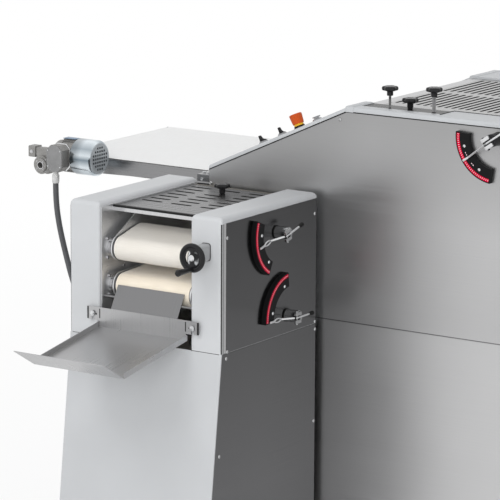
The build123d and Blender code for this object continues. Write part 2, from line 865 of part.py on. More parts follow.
# Main body shells
def body_outline(low, left, right):
    """Outline of the body below its caps: slope on the left, level top to the right."""
    return (
        (left, low),
        (right, low),
        (right, main_height - cap_thickness),
        (cap_knee, main_height - cap_thickness),
        (left, slope_low - cap_step + (left - main_left) * tan(slope)),
    )


with BuildPart() as main_front_upper_panel:
    with BuildSketch(Plane.XZ.offset(-main_front)):
        with BuildLine():
            Polyline(*body_outline(seam_height, main_left, main_right), close=True)
        make_face()
    extrude(amount=-sheet)
    block(window_x, (main_front, main_front + sheet), window_z, mode=Mode.SUBTRACT)
    rod_y(lever_x, (main_front, main_front + sheet), lever_z, lever_shaft + 1, mode=Mode.SUBTRACT)
save(main_front_upper_panel.part, "main_front_upper_panel")

with BuildPart() as main_front_lower_panel:
    block((main_left, main_right), (main_front, main_front + sheet), (floor_gap, seam_height - seam_gap))
save(main_front_lower_panel.part, "main_front_lower_panel")

belt_low = drive_z - conveyor_roller - belt_gap - belt_thickness
mouth_low = belt_low - 3 * conveyor_plate
with BuildPart() as closing_panels:
    block(
        (hx - half_head + sheet, hx + half_head - sheet),
        (head_back - sheet, head_back),
        (floor_gap, hz),
    )
    with BuildSketch(Plane.XZ.offset(-main_back)):
        with BuildLine():
            Polyline(*body_outline(floor_gap, main_left, main_right), close=True)
        make_face()
    extrude(amount=sheet)
    inside = (main_front + sheet + guard_seat_gap, main_back - sheet - guard_seat_gap)
    block((main_left, main_left + sheet), inside, (floor_gap, slope_low - cap_step))
    mouth_z = (mouth_low, slope_low)
    block((main_left, main_left + sheet), (near_inner, far_inner), mouth_z, mode=Mode.SUBTRACT)
    block((main_right - sheet, main_right), inside, (floor_gap, main_height - cap_thickness))
save(closing_panels.part, "closing_panels")

control_plane = Plane(
    (main_left, main_front + control_inset, slope_low),
    x_dir=(cos(slope), 0, sin(slope)),
    z_dir=(-sin(slope), 0, cos(slope)),
)
controls = (selector_left_place, selector_right_place, estop_place, button_place)
plate_x = (hx + plate_left_reach, hx + plate_right_reach)
with BuildPart() as main_caps:
    for y_outer, y_inner in ((main_front - cap_overhang, near_inner), (main_back, far_inner)):
        with BuildSketch(Plane.XZ.offset(-y_outer)):
            with BuildLine():
                Polyline(
                    (main_left, slope_low),
                    (slope_end, main_height),
                    (main_right, main_height),
                    (main_right, main_height - cap_thickness),
                    (cap_knee, main_height - cap_thickness),
                    (main_left, slope_low - cap_step),
                    close=True,
                )
            make_face()
        extrude(amount=y_outer - y_inner)
    for y_outer in (main_front - cap_overhang, main_back):
        rim_middles = (
            ((slope_end + main_right) / 2, y_outer, main_height),
            ((main_left + slope_end) / 2, y_outer, (slope_low + main_height) / 2),
        )
        fillet([main_caps.edges().sort_by_distance(middle)[0] for middle in rim_middles], cap_round)
    notch_z = (main_height - cap_thickness, main_height)
    block(plate_x, (main_front + plate_inset, near_inner), notch_z, mode=Mode.SUBTRACT)
    for place in controls:
        with BuildSketch(control_plane.offset(-2 * cap_thickness)):
            with Locations((place, 0)):
                Circle(control_bore)
        extrude(amount=3 * cap_thickness, mode=Mode.SUBTRACT)
save(main_caps.part, "main_caps")

frame_x = (main_left + sheet, main_right - sheet)
frame_low = floor_gap + base_plate
fixed_x = hx + gap_roller_reach - 2 * roller_radius - roller_nip
gap_x = hx + gap_roller_reach
roller_z = main_height - roller_drop
block_x = (gap_x - block_size[0] / 2, gap_x + block_size[0] / 2)
block_z = (lever_z - pin_offset - block_size[2] / 2 - 10, lever_z - pin_offset + block_size[2] / 2 - 10)
blocks_y = (
    (near_inner + block_gap, near_inner + block_gap + block_size[1]),
    (far_inner - block_gap - block_size[1], far_inner - block_gap),
)
with BuildPart() as main_side_frames:
    for face, inward in ((near_inner, 1), (far_inner, -1)):
        with BuildSketch(Plane.XZ.offset(-face)):
            with BuildLine():
                Polyline(*body_outline(frame_low, *frame_x), close=True)
            make_face()
        extrude(amount=inward * side_frame)
        span = (face, face - inward * side_frame)
        rod_y(fixed_x, span, roller_z, roller_shaft + running_fit, mode=Mode.SUBTRACT)
        ledge = (face, face + inward * (block_gap + block_size[1]))
        block(
            (block_x[0] - block_size[0] / 3, block_x[1] + block_size[0] / 3),
            ledge,
            (block_z[0] - guard_seat_gap - ledge_height, block_z[0] - guard_seat_gap),
        )
    near_span = (near_inner - side_frame, near_inner)
    block(window_x, near_span, window_z, mode=Mode.SUBTRACT)
    rod_y(lever_x, near_span, lever_z, crank_radius + 1, mode=Mode.SUBTRACT)
save(main_side_frames.part, "main_side_frames")

with BuildPart() as slope_cover:
    with BuildSketch(Plane.XZ.offset(-near_inner)):
        with BuildLine():
            Polyline(
                (main_left, slope_low - cover_drop),
                (slope_end, main_height - cover_drop),
                (main_guard_left - guard_seat_gap, main_height - cover_drop),
            )
            offset(amount=sheet, side=Side.RIGHT)
        make_face()
    extrude(amount=-bay_width)
save(slope_cover.part, "slope_cover")

with BuildPart() as knob_plate:
    plate_low = main_height - plate_thickness - sheet
    block(plate_x, (main_front + plate_inset, near_inner), (plate_low, plate_low + plate_thickness))
    for reach, inset, stem in top_knobs.values():
        hole = (plate_low, plate_low + plate_thickness)
        rod_z(hx + reach, main_front + inset, hole, knob_stem + running_fit, mode=Mode.SUBTRACT)
save(knob_plate.part, "knob_plate")


# Star knobs and controls
def star_knob(label, x, y, plate_top, stem, tail):
    hub_low = plate_top + stem
    head_low = hub_low + knob_hub_length
    with BuildPart() as knob:
        rod_z(x, y, (plate_top - tail, head_low), knob_stem)
        rod_z(x, y, (hub_low, head_low), knob_hub_radius)
        with BuildSketch(Plane.XY.offset(head_low)):
            with Locations((x, y)):
                Circle(knob_radius - 0.8 * knob_lobe_radius)
                with PolarLocations(knob_radius - knob_lobe_radius, knob_lobes):
                    Circle(knob_lobe_radius)
        extrude(amount=knob_head)
        chamfer(knob.faces().sort_by(Axis.Z)[-1].edges(), knob_edge)
    save(knob.part, label)


for label, (reach, inset, stem) in top_knobs.items():
    star_knob(label, hx + reach, main_front + inset, plate_low + plate_thickness, stem, knob_tail)
star_knob("guard_knob", hx, knob_y, guard_low + guard_sheet, guard_knob_stem, knob_tail)

with BuildPart() as switch_collars:
    for place in controls:
        rings = ((bezel_radius, bezel_height),)
        if place == estop_place:
            rings = ((estop_foot_radius, estop_base_height), (collar_radius, collar_height))
        for radius, height in rings:
            with BuildSketch(control_plane):
                with Locations((place, 0)):
                    Circle(radius)
                    Circle(bezel_bore, mode=Mode.SUBTRACT)
            extrude(amount=height)
save(switch_collars.part, "switch_collars")

estop_axis = Axis(control_plane.from_local_coords((estop_place, 0, 0)), control_plane.z_dir)
estop_low = estop_base_height + collar_show
stem_end = -slope_cap
with BuildPart() as estop_button:
    with BuildSketch(Plane(control_plane.origin, x_dir=control_plane.x_dir, z_dir=-control_plane.y_dir)):
        with BuildLine():
            Polyline(
                (estop_place, stem_end),
                (estop_place + bezel_bore - press_clearance, stem_end),
                (estop_place + bezel_bore - press_clearance, collar_height + estop_travel + 1),
                (estop_place + collar_radius + press_clearance, collar_height + estop_travel + 1),
                (estop_place + collar_radius + press_clearance, estop_low),
                (estop_place + estop_foot_radius, estop_low),
                (estop_place + estop_top_radius, estop_low + estop_height - knob_edge),
                (estop_place + estop_top_radius - knob_edge, estop_low + estop_height),
                (estop_place, estop_low + estop_height),
                close=True,
            )
        make_face()
    revolve(axis=estop_axis)
save(estop_button.part, "estop_button")

for label, place, turn in (
    ("selector_left", selector_left_place, 90),
    ("selector_right", selector_right_place, 90),
):
    with BuildPart() as selector:
        with BuildSketch(control_plane.offset(-slope_cap)):
            with Locations((place, 0)):
                Circle(bezel_bore - running_fit)
        extrude(amount=slope_cap + bezel_height + 1)
        with BuildSketch(control_plane.offset(bezel_height + 1)):
            with Locations((place, 0)):
                Circle(bezel_radius - 2)
        extrude(amount=4)
        with BuildSketch(control_plane.offset(bezel_height + 5)):
            with Locations((place, 0)):
                SlotOverall(selector_length, selector_blade, rotation=turn)
        extrude(amount=selector_height, taper=5)
    save(selector.part, label)

with BuildPart() as start_button:
    with BuildSketch(control_plane.offset(-slope_cap)):
        with Locations((button_place, 0)):
            Circle(bezel_bore - press_clearance)
    extrude(amount=slope_cap + bezel_height + button_travel + 1)
    with BuildSketch(control_plane.offset(bezel_height + button_travel + 0.5)):
        with Locations((button_place, 0)):
            Circle(bezel_radius - 3)
    extrude(amount=3)
save(start_button.part, "start_button")


# Sheeting rollers and the sliding carriage of the adjustable one
def roller(label, x, reach):
    with BuildPart() as cylinder:
        rod_y(x, (near_inner + roller_side_gap, far_inner - roller_side_gap), roller_z, roller_radius)
        rod_y(x, (near_inner - reach, far_inner + reach), roller_z, roller_shaft)
    save(cylinder.part, label)


roller("fixed_roller", fixed_x, side_frame)
roller("gap_roller", gap_x, -block_gap)
with BuildPart() as roller_carriage:
    for span in blocks_y:
        block(block_x, span, block_z)
        rod_y(gap_x, span, roller_z, roller_shaft + running_fit, mode=Mode.SUBTRACT)
    tie = (blocks_y[0][1], blocks_y[1][0])
    block((block_x[1] - 8, block_x[1]), tie, (block_z[0], block_z[0] + 24))
    slot_height = 2 * (pin_radius + pin_slack)
    with BuildSketch(Plane.XZ.offset(-blocks_y[0][0])):
        with Locations((lever_x + pin_offset * cos(main_turn), lever_z + pin_offset * sin(main_turn))):
            SlotOverall(slot_height + pin_offset, slot_height, rotation=90)
    extrude(amount=-block_size[1], mode=Mode.SUBTRACT)
save(roller_carriage.part, "roller_carriage")

# Conveyor
side_plates = (
    (bay_middle - conveyor_belt_width / 2 - conveyor_plate_gap, -1),
    (bay_middle + conveyor_belt_width / 2 + conveyor_plate_gap, 1),
)
plate_start = drive_x - conveyor_nose
plate_end = main_left + conveyor_inside - conveyor_roller / 2 + 12
plate_top = conveyor_height - 3
bed_top = conveyor_height - belt_thickness - belt_gap
with BuildPart() as conveyor_frame:
    for face, outward in side_plates:
        with BuildSketch(Plane.XZ.offset(-face)):
            with BuildLine():
                Polyline(
                    (plate_start, plate_top),
                    (plate_end, plate_top),
                    (plate_end, plate_top - plate_inner_height),
                    (plate_start, plate_top - plate_end_height),
                    close=True,
                )
            make_face()
        extrude(amount=-outward * conveyor_plate)
        span = (face, face + outward * conveyor_plate)
        for x in (drive_x, tail_x):
            rod_y(x, span, drive_z, conveyor_shaft + running_fit, mode=Mode.SUBTRACT)
        side_face = near_inner if outward < 0 else far_inner
        lug_z = (plate_top - plate_inner_height, plate_top - 6)
        block((main_left + sheet, plate_end - 8), (span[1], side_face), lug_z)
    arm_z = (plate_top + arm_rise - arm_height, plate_top + arm_rise)
    block((main_left - arm_width, main_left), (main_front + arm_inset, side_plates[0][0] - 1), arm_z)
    bed_x = (drive_x + conveyor_roller + 14, tail_x - conveyor_roller - 14)
    block(bed_x, (side_plates[0][0], side_plates[1][0]), (bed_top - bed_thickness, bed_top))
save(conveyor_frame.part, "conveyor_frame")

conveyor_ends = [(drive_x, drive_z), (tail_x, drive_z)]
conveyor_plane = Plane.XZ.offset(-bay_middle)
belt("conveyor_belt", conveyor_plane, conveyor_ends, conveyor_roller, conveyor_belt_width)

roller_span = (bay_middle - conveyor_belt_width / 2, bay_middle + conveyor_belt_width / 2)
plate_span = (side_plates[0][0] - conveyor_plate, side_plates[1][0] + conveyor_plate)
with BuildPart() as conveyor_drive_roller:
    rod_y(drive_x, roller_span, drive_z, conveyor_roller)
    rod_y(drive_x, (gear_y, plate_span[1]), drive_z, conveyor_shaft)
save(conveyor_drive_roller.part, "conveyor_drive_roller")

with BuildPart() as conveyor_tail_roller:
    rod_y(tail_x, roller_span, drive_z, conveyor_roller)
    rod_y(tail_x, plate_span, drive_z, conveyor_shaft)
save(conveyor_tail_roller.part, "conveyor_tail_roller")

# Gearmotor on the conveyor's drive shaft
gear_front = gear_y - gearbox_width / 2
gear_back = gear_y + gearbox_width / 2
worm_end = drive_x + motor_offset - motor_flange_length
with BuildPart() as gearbox:
    rod_y(drive_x, (gear_front + 4, gear_back - 4), drive_z, gearbox_round)
    worm_tail = drive_x - gearbox_tail
    with BuildSketch(Plane.YZ.offset(worm_tail)):
        with Locations((gear_y, motor_z)):
            RectangleRounded(2 * worm_case, 2 * worm_case, worm_case / 2)
    extrude(amount=worm_end - worm_tail)
    with BuildSketch(Plane.YZ.offset(worm_tail)):
        with Locations((gear_y, motor_z)):
            RectangleRounded(worm_cap[1], worm_cap[1], worm_case / 4)
    extrude(amount=worm_cap[0])
    with BuildSketch(Plane.XZ.offset(worm_web[1] / 2 - gear_y)):
        with Locations((drive_x, drive_z)):
            Circle(gearbox_round - 3)
        with Locations((drive_x, motor_z)):
            Rectangle(worm_web[0], 2 * worm_case - 4)
        make_hull()
    extrude(amount=-worm_web[1])
    rod_x((worm_end - 8, worm_end), gear_y, motor_z, motor_flange)
    rod_y(drive_x, (gear_front, gear_back), drive_z, gear_flange)
    rod_y(drive_x, (gear_y, plate_span[0]), drive_z, gearbox_round + 4)
    rod_y(drive_x, (gear_front, plate_span[0]), drive_z, conveyor_shaft + running_fit, mode=Mode.SUBTRACT)
save(gearbox.part, "gearbox")

body_end = worm_end + motor_flange_length + motor_length
fan_end = body_end + 18
box_x = worm_end + motor_flange_length + box_shift
box_back = gear_y - motor_radius + 6
box_front = box_back - box_size[2]
with BuildPart() as motor_body:
    rod_x((worm_end, worm_end + motor_flange_length), gear_y, motor_z, motor_flange)
    rod_x((worm_end + motor_flange_length, body_end), gear_y, motor_z, motor_radius)
    rod_x((body_end, fan_end), gear_y, motor_z, motor_shaft)
    with BuildSketch(Plane.XZ.offset(-box_back)):
        with Locations((box_x, motor_z)):
            octagon = Rectangle(*box_size[:2])
        chamfer(octagon.vertices(), box_corner)
    extrude(amount=box_size[2])
save(motor_body.part, "motor_body")

cowl_start = body_end - 3.5
cowl_end = cowl_start + cowl_length
hole_count = int(cowl_rings / cowl_pitch)
hole_steps = range(-hole_count, hole_count + 1)
cowl_holes = [
    (gear_y + column * cowl_pitch, motor_z + row * cowl_pitch)
    for column in hole_steps
    for row in hole_steps
    if hypot(column, row) * cowl_pitch < cowl_rings
]
with BuildPart() as fan_cowl:
    with BuildSketch(Plane.XZ.offset(-gear_y)):
        with BuildLine():
            FilletPolyline(
                (cowl_start, motor_z + cowl_radius),
                (cowl_end, motor_z + cowl_radius),
                (cowl_end, motor_z),
                radius=cowl_round,
            )
            offset(amount=cowl_wall, side=Side.RIGHT)
        make_face()
    revolve(axis=Axis((cowl_end, gear_y, motor_z), (1, 0, 0)))
    with BuildSketch(Plane.YZ.offset(cowl_end - 2 * cowl_wall)):
        with Locations(*cowl_holes):
            Rectangle(cowl_hole, cowl_hole)
    extrude(amount=3 * cowl_wall, mode=Mode.SUBTRACT)
    lug_length = cowl_radius - cowl_wall / 2 - motor_radius - guard_seat_gap
    with BuildSketch(Plane.YZ.offset(cowl_start)):
        with Locations((gear_y, motor_z)):
            with PolarLocations(motor_radius + guard_seat_gap + lug_length / 2, 4, start_angle=45):
                Rectangle(lug_length, cowl_lug)
    extrude(amount=body_end - cowl_start)
save(fan_cowl.part, "fan_cowl")

with BuildPart() as cooling_fan:
    hub = (body_end + 4, fan_end)
    rod_x(hub, gear_y, motor_z, 3 * motor_shaft)
    with BuildSketch(Plane.YZ.offset(hub[0])):
        with Locations((gear_y, motor_z)):
            with PolarLocations(fan_radius / 2, fan_blades):
                Rectangle(fan_radius, blade_thickness)
    extrude(amount=hub[1] - hub[0])
    rod_x(hub, gear_y, motor_z, motor_shaft + running_fit, mode=Mode.SUBTRACT)
save(cooling_fan.part, "cooling_fan")

# Conduit from the terminal box to the main body's left end
gland_x = box_x - 8
gland_y = box_front + 17
box_low = motor_z - box_size[1] / 2
inlet_y = main_front + inlet_inset
inlet_z = seam_height - 345
with BuildPart() as conduit_glands:
    rod_z(gland_x, gland_y, (box_low - gland_length, box_low), gland_radius)
    rod_x((main_left - gland_length, main_left), inlet_y, inlet_z, gland_radius)
save(conduit_glands.part, "conduit_glands")

gland_end = box_low - gland_length
inlet_end = main_left - gland_length
conduit_route = [
    (gland_x, gland_y, gland_end),
    (gland_x, gland_y, 1050),
    (-813, -1, 975),
    (-792, 1, 895),
    (-768, 5, 810),
    (-730, 12, 722),
    (-676, 24, 640),
    (-606, 39, 570),
    (-522, 54, 516),
    (-425, 68, 480),
    (-372, inlet_y, inlet_z),
    (inlet_end, inlet_y, inlet_z),
]
legs = [Vector(end) - Vector(start) for start, end in zip(conduit_route, conduit_route[1:])]
conduit_radii = [
    0.45 * min(before.length, after.length) / tan(radians(before.get_angle(after)) / 2)
    for before, after in zip(legs, legs[1:])
]
print("conduit bend radii", [round(radius) for radius in conduit_radii])
with BuildPart() as conduit:
    with BuildLine() as conduit_line:
        FilletPolyline(*conduit_route, radius=conduit_radii)
    with BuildSketch(Plane(conduit_route[0], z_dir=legs[0])):
        Circle(conduit_radius)
    sweep(path=conduit_line.line)
print("conduit length", round(sum(edge.length for edge in conduit_line.edges())), "mm")
save(conduit.part, "conduit")

# Drive motor on the main body's base
drive_z_axis = frame_low + drive_radius + 15
motor_x = hx + drive_reach
with BuildPart() as drive_motor:
    rod_x((motor_x, motor_x + drive_length), bay_middle, drive_z_axis, drive_radius)
    block(
        (motor_x + 30, motor_x + drive_length - 30),
        (bay_middle - drive_radius, bay_middle + drive_radius),
        (frame_low, frame_low + 15 + drive_radius / 2),
    )
    block(
        (motor_x - drive_gearbox, motor_x),
        (bay_middle - drive_gearbox / 2, bay_middle + drive_gearbox / 2),
        (frame_low, frame_low + 1.3 * drive_gearbox),
    )
save(drive_motor.part, "drive_motor")
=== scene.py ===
from math import atan2, cos, degrees, pi, radians, sin

import bmesh
import bpy
from mathutils import Matrix, Vector


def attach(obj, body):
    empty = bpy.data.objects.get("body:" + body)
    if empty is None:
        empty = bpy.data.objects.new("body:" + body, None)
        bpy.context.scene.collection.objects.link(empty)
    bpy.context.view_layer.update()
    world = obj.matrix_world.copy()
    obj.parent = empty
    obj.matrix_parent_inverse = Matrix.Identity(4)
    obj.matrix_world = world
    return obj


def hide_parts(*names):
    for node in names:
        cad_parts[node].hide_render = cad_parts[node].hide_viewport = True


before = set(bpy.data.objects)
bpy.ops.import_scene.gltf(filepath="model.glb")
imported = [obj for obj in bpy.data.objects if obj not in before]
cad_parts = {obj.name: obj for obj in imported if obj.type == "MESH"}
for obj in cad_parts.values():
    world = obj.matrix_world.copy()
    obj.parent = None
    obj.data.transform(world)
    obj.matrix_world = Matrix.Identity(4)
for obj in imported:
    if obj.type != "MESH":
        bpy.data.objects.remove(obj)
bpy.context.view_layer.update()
mm = 0.001
print("frame loaded with", len(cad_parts), "nodes")

# the photograph's view
viewSettings = {
    "azimuth": 33.57,
    "elevation": 11.60,
    "roll": 0.275,
    "place": (4.8921, -7.5842, 2.8532),  # metres
    "lens": 236.45,
    "sensor": 36.0,
    "reach": 100.0,  # metres
}


def addObject(name, data):
    item = bpy.data.objects.new(name, data)
    bpy.context.scene.collection.objects.link(item)
    return item


def placeCamera(settings):
    turn, rise, roll = (radians(settings[key]) for key in ("azimuth", "elevation", "roll"))
    back = Vector((sin(turn) * cos(rise), -cos(turn) * cos(rise), sin(rise)))
    level = Vector((cos(turn), sin(turn), 0))
    upright = back.cross(level)
    side = level * cos(roll) + upright * sin(roll)
    top = upright * cos(roll) - level * sin(roll)
    data = bpy.data.cameras.new("photoView")
    data.lens = settings["lens"]
    data.sensor_width = settings["sensor"]
    data.clip_end = settings["reach"]
    camera = addObject("photoView", data)
    axes = Matrix((side, top, back)).transposed().to_4x4()
    camera.matrix_world = Matrix.Translation(settings["place"]) @ axes
    bpy.context.scene.camera = camera


placeCamera(viewSettings)
print("camera placed")


# finishes
def fill(tree, node, inputs):
    # a socket is linked, a number or colour is set
    for key, source in inputs.items():
        if isinstance(source, bpy.types.NodeSocket):
            tree.links.new(source, node.inputs[key])
        else:
            node.inputs[key].default_value = source


def addNode(tree, kind, inputs=None, **options):
    node = tree.nodes.new(kind)
    for key, value in options.items():
        setattr(node, key, value)
    fill(tree, node, inputs or {})
    return node


def startFinish(name, colour, rough, metal=0.0, extra=None):
    finish = bpy.data.materials.new(name)
    finish.use_nodes = True
    finish.diffuse_color = (*colour, 1)
    tree = finish.node_tree
    shader = tree.nodes["Principled BSDF"]
    fill(tree, shader, {"Base Color": (*colour, 1), "Roughness": rough, "Metallic": metal, **(extra or {})})
    return finish, tree, shader


def stretched(tree, scale=(1, 1, 1), source="Object"):
    where = addNode(tree, "ShaderNodeTexCoord").outputs[source]
    return addNode(tree, "ShaderNodeMapping", {"Vector": where, "Scale": scale}).outputs["Vector"]


def split(tree, vector):
    return addNode(tree, "ShaderNodeSeparateXYZ", {"Vector": vector}).outputs


def maths(tree, operation, first, second):
    return addNode(tree, "ShaderNodeMath", {0: first, 1: second}, operation=operation).outputs["Value"]


def mixed(tree, share, first, second, way="MIX"):
    return addNode(tree, "ShaderNodeMix", {"Factor": share, 6: first, 7: second}, data_type="RGBA",
                   blend_type=way).outputs[2]


def noise(tree, vector, scale, detail):
    return addNode(tree, "ShaderNodeTexNoise", {"Vector": vector, "Scale": scale, "Detail": detail}).outputs["Fac"]


def ranged(tree, value, start, stop, low=0.0, high=1.0):
    return addNode(tree, "ShaderNodeMapRange", {"Value": value, "From Min": start, "From Max": stop, "To Min": low,
                                                "To Max": high}).outputs["Result"]


noiseSpan = (0.25, 0.75)  # most of a noise lies between these


def spread(tree, value, low, high):
    return ranged(tree, value, *noiseSpan, low, high)


def banded(tree, value, stops):
    # colour by the share of a run, stops of share and colour
    ramp = addNode(tree, "ShaderNodeValToRGB", {"Fac": value})
    while len(ramp.color_ramp.elements) < len(stops):
        ramp.color_ramp.elements.new(1.0)
    for element, (position, colour) in zip(ramp.color_ramp.elements, stops):
        element.position = position
        element.color = (*colour, 1)
    return ramp.outputs["Color"]


def tint(tree, value, dark, light):
    return banded(tree, value, tuple(zip(noiseSpan, (dark, light))))


def shadedAlong(tree, tone, axis, stops):
    # painted shade: slow change of tone along an axis, stops of place in metres and tone
    place = split(tree, addNode(tree, "ShaderNodeTexCoord").outputs["Object"])[axis]
    start, stop = stops[0][0], stops[-1][0]
    shares = [((spot - start) / (stop - start), (part, part, part)) for spot, part in stops]
    slow = banded(tree, ranged(tree, place, start, stop), shares)
    return addNode(tree, "ShaderNodeVectorMath", {0: tone, 1: slow}, operation="MULTIPLY").outputs["Vector"]


def relief(tree, shader, value, strength, depth):
    bump = addNode(tree, "ShaderNodeBump", {"Height": value, "Strength": strength, "Distance": depth})
    fill(tree, shader, {"Normal": bump.outputs["Normal"]})


def shade(colour, share):
    return tuple(min(1.0, part * share) for part in colour)


# how each kind of surface varies: detail of its skin, clouds, tones, roughness and bump
surfaceSettings = {
    "paint": {"skin": 2.0, "cloud": (5.0, 5.0), "tones": (0.965, 1.03), "rough": (-0.05, 0.06), "bump": 0.18},
    "moulding": {"skin": 3.0, "cloud": (18.0, 4.0), "tones": (0.88, 1.14), "rough": (-0.06, 0.08), "bump": 0.22},
    "casting": {"skin": 6.0, "cloud": (30.0, 4.0), "tones": (0.86, 1.12), "rough": (-0.08, 0.12), "bump": 0.35},
    "steel": {"streak": 5.0, "cloud": (3.0, 4.0), "streakRough": 0.05, "cloudRough": (-0.04, 0.05), "bump": 0.25},
    "edge": {"reach": 0.0022, "turn": (0.98, 0.80), "share": 0.45, "tone": 1.18},  # thinner paint at an edge
}


def coated(kind, name, colour, rough, grain, depth, metal=0.0, extra=None):
    look = surfaceSettings[kind]
    finish, tree, shader = startFinish(name, colour, rough, metal, extra)
    place = stretched(tree)
    skin, cloud = noise(tree, place, grain, look["skin"]), noise(tree, place, *look["cloud"])
    tone = tint(tree, cloud, *(shade(colour, part) for part in look["tones"]))
    low, high = (rough + part for part in look["rough"])
    dull = spread(tree, skin if kind == "casting" else cloud, low, high)
    if kind == "paint":
        edge = surfaceSettings["edge"]
        worn = addNode(tree, "ShaderNodeBevel", {"Radius": edge["reach"]}, samples=4).outputs["Normal"]
        plain = addNode(tree, "ShaderNodeNewGeometry").outputs["Normal"]
        meet = addNode(tree, "ShaderNodeVectorMath", {0: worn, 1: plain}, operation="DOT_PRODUCT").outputs["Value"]
        thin = ranged(tree, meet, *edge["turn"], 0.0, edge["share"])
        tone = mixed(tree, thin, tone, (*shade(colour, edge["tone"]), 1))
    fill(tree, shader, {"Base Color": tone, "Roughness": dull})
    relief(tree, shader, skin, look["bump"], depth)
    return finish


def painted(name, colour, rough, grain=420.0, depth=0.00006):
    return coated("paint", name, colour, rough, grain, depth)


def moulded(name, colour, rough, grain=700.0, depth=0.00005, gloss=0.5):
    return coated("moulding", name, colour, rough, grain, depth, 0.0, {"Specular IOR Level": gloss})


def cast(name, colour, rough, metal, grain=260.0, depth=0.0003):
    return coated("casting", name, colour, rough, grain, depth, metal)


def brushed(name, colour, rough, grain, contrast=0.10, depth=0.00002, paintedShade=(), metal=1.0, edge=1.0):
    # grain: how tight the streaks are along X, Y and Z, low along the brushing
    # the slow changes of tone are painted shade and reflection, each an axis with its stops
    # edge: how bright the steel stays at a grazing look
    look = surfaceSettings["steel"]
    finish, tree, shader = startFinish(name, colour, rough, metal, {"Specular Tint": (edge, edge, edge, 1)})
    streak = noise(tree, stretched(tree, grain), 1.0, look["streak"])
    cloud = noise(tree, stretched(tree), *look["cloud"])
    tone = tint(tree, streak, shade(colour, 1 - contrast), shade(colour, 1 + contrast))
    for axis, stops in paintedShade:
        tone = shadedAlong(tree, tone, axis, stops)
    change = look["streakRough"]
    dull = maths(tree, "ADD", spread(tree, streak, rough - change, rough + change),
                 spread(tree, cloud, *look["cloudRough"]))
    fill(tree, shader, {"Base Color": tone, "Roughness": dull})
    relief(tree, shader, streak, look["bump"], depth)
    return finish


clothLook = {
    "distortion": 0.6,
    "detail": 2.0,
    "slub": (26, 900, 1),
    "slubDetail": 4.0,
    "slubTones": (0.93, 1.04),
    "cloud": (9.0, 5.0),
    "stain": (1.0, 1.2, 1.6),  # share of the stain in red, green and blue
    "sheenRough": 0.5,
    "bump": 0.5,
}


def woven(name, colour, thread, rough, depth, stain, sheen=0.18):
    # threads follow the belt: U across its width and V round its loop, both in metres
    look = clothLook
    sheenInputs = {"Sheen Weight": sheen, "Sheen Roughness": look["sheenRough"]}
    finish, tree, shader = startFinish(name, colour, rough, 0.0, sheenInputs)
    cloth = stretched(tree, source="UV")
    waves = [addNode(tree, "ShaderNodeTexWave", {
        "Vector": cloth, "Scale": pi / 10 / thread, "Distortion": look["distortion"], "Detail": look["detail"],
    }, bands_direction=direction).outputs["Fac"] for direction in ("X", "Y")]
    weave = maths(tree, "MULTIPLY", *waves)
    slub = noise(tree, stretched(tree, look["slub"], "UV"), 1.0, look["slubDetail"])
    cloud = noise(tree, cloth, *look["cloud"])
    plain = tint(tree, slub, *(shade(colour, part) for part in look["slubTones"]))
    soiled = tint(tree, cloud, [1 - part * stain for part in look["stain"]], (1, 1, 1))
    fill(tree, shader, {"Base Color": mixed(tree, 1.0, plain, soiled, "MULTIPLY")})
    relief(tree, shader, weave, look["bump"], depth)
    return finish


zincSettings = {
    "axis": (0.061, 1.1807),  # the drum's axis in Y and Z, metres
    # painted reflection: soft light and dark bands round the drum, share of a turn and tone
    "bands": ((0.0, 0.0), (0.07, 0.9), (0.16, 0.35), (0.22, 0.95), (0.33, 0.1), (0.45, 0.6), (0.52, 0.0), (0.62, 0.8),
              (0.70, 0.15), (0.80, 1.0), (0.90, 0.3), (0.96, 0.85), (1.0, 0.0)),
    # painted shade: darker towards the motor
    "fade": ((-0.787, 0.50), (-0.765, 0.62), (-0.745, 1.0)),  # along X
    "flat": (0.80, 0.97),  # how far a face looks along X to be the flat end
    "endTone": 0.50,
    "endMetal": 0.15,
    "smear": (30, 90, 90),
    "smearDetail": 4.0,
    "smearRough": (-0.04, 0.08),
    "bump": (0.15, 0.00002),
}


def zincSheet(name, bright, dark, rough):
    look = zincSettings
    finish, tree, shader = startFinish(name, bright, rough, 1.0)
    parts = split(tree, addNode(tree, "ShaderNodeTexCoord").outputs["Object"])
    middleY, middleZ = look["axis"]
    turn = maths(tree, "ARCTAN2", maths(tree, "SUBTRACT", parts["Z"], middleZ),
                 maths(tree, "SUBTRACT", parts["Y"], middleY))
    # painted reflection bands round the drum, with painted shade towards the motor
    bands = [(share, [low + (high - low) * tone for low, high in zip(dark, bright)]) for share, tone in look["bands"]]
    drum = shadedAlong(tree, banded(tree, ranged(tree, turn, -pi, pi), bands), "X", look["fade"])
    # the flat end is one even grey and duller
    faces = split(tree, addNode(tree, "ShaderNodeNewGeometry").outputs["True Normal"])
    flat = ranged(tree, faces["X"], *look["flat"])
    smear = noise(tree, stretched(tree, look["smear"]), 1.0, look["smearDetail"])
    low, high = (rough + part for part in look["smearRough"])
    fill(tree, shader, {"Base Color": mixed(tree, flat, drum, (*shade(bright, look["endTone"]), 1)),
                        "Metallic": ranged(tree, flat, 0.0, 1.0, 1.0, look["endMetal"]),
                        "Roughness": spread(tree, smear, low, high)})
    relief(tree, shader, smear, *look["bump"])
    return finish


# painted shade and reflection on the steel panels, each fading from one tone to another: place in metres and tone
# side panels darker towards the top: painted shade
sideShadeFade = ("Z", ((0.40, 1.0), (1.15, 0.5)))
# front panels darker beside the head: painted reflection of the head's dark side
headReflectionFade = ("X", ((0.05, 0.72), (0.25, 0.82)))
# upper front panel darker towards the top: painted shade
topShadeFade = ("Z", ((1.10, 1.0), (1.40, 0.72)))
panelGrain = (1.5, 400, 900)
fineGrain = (200, 200, 200)
smallGrain = (160, 160, 160)

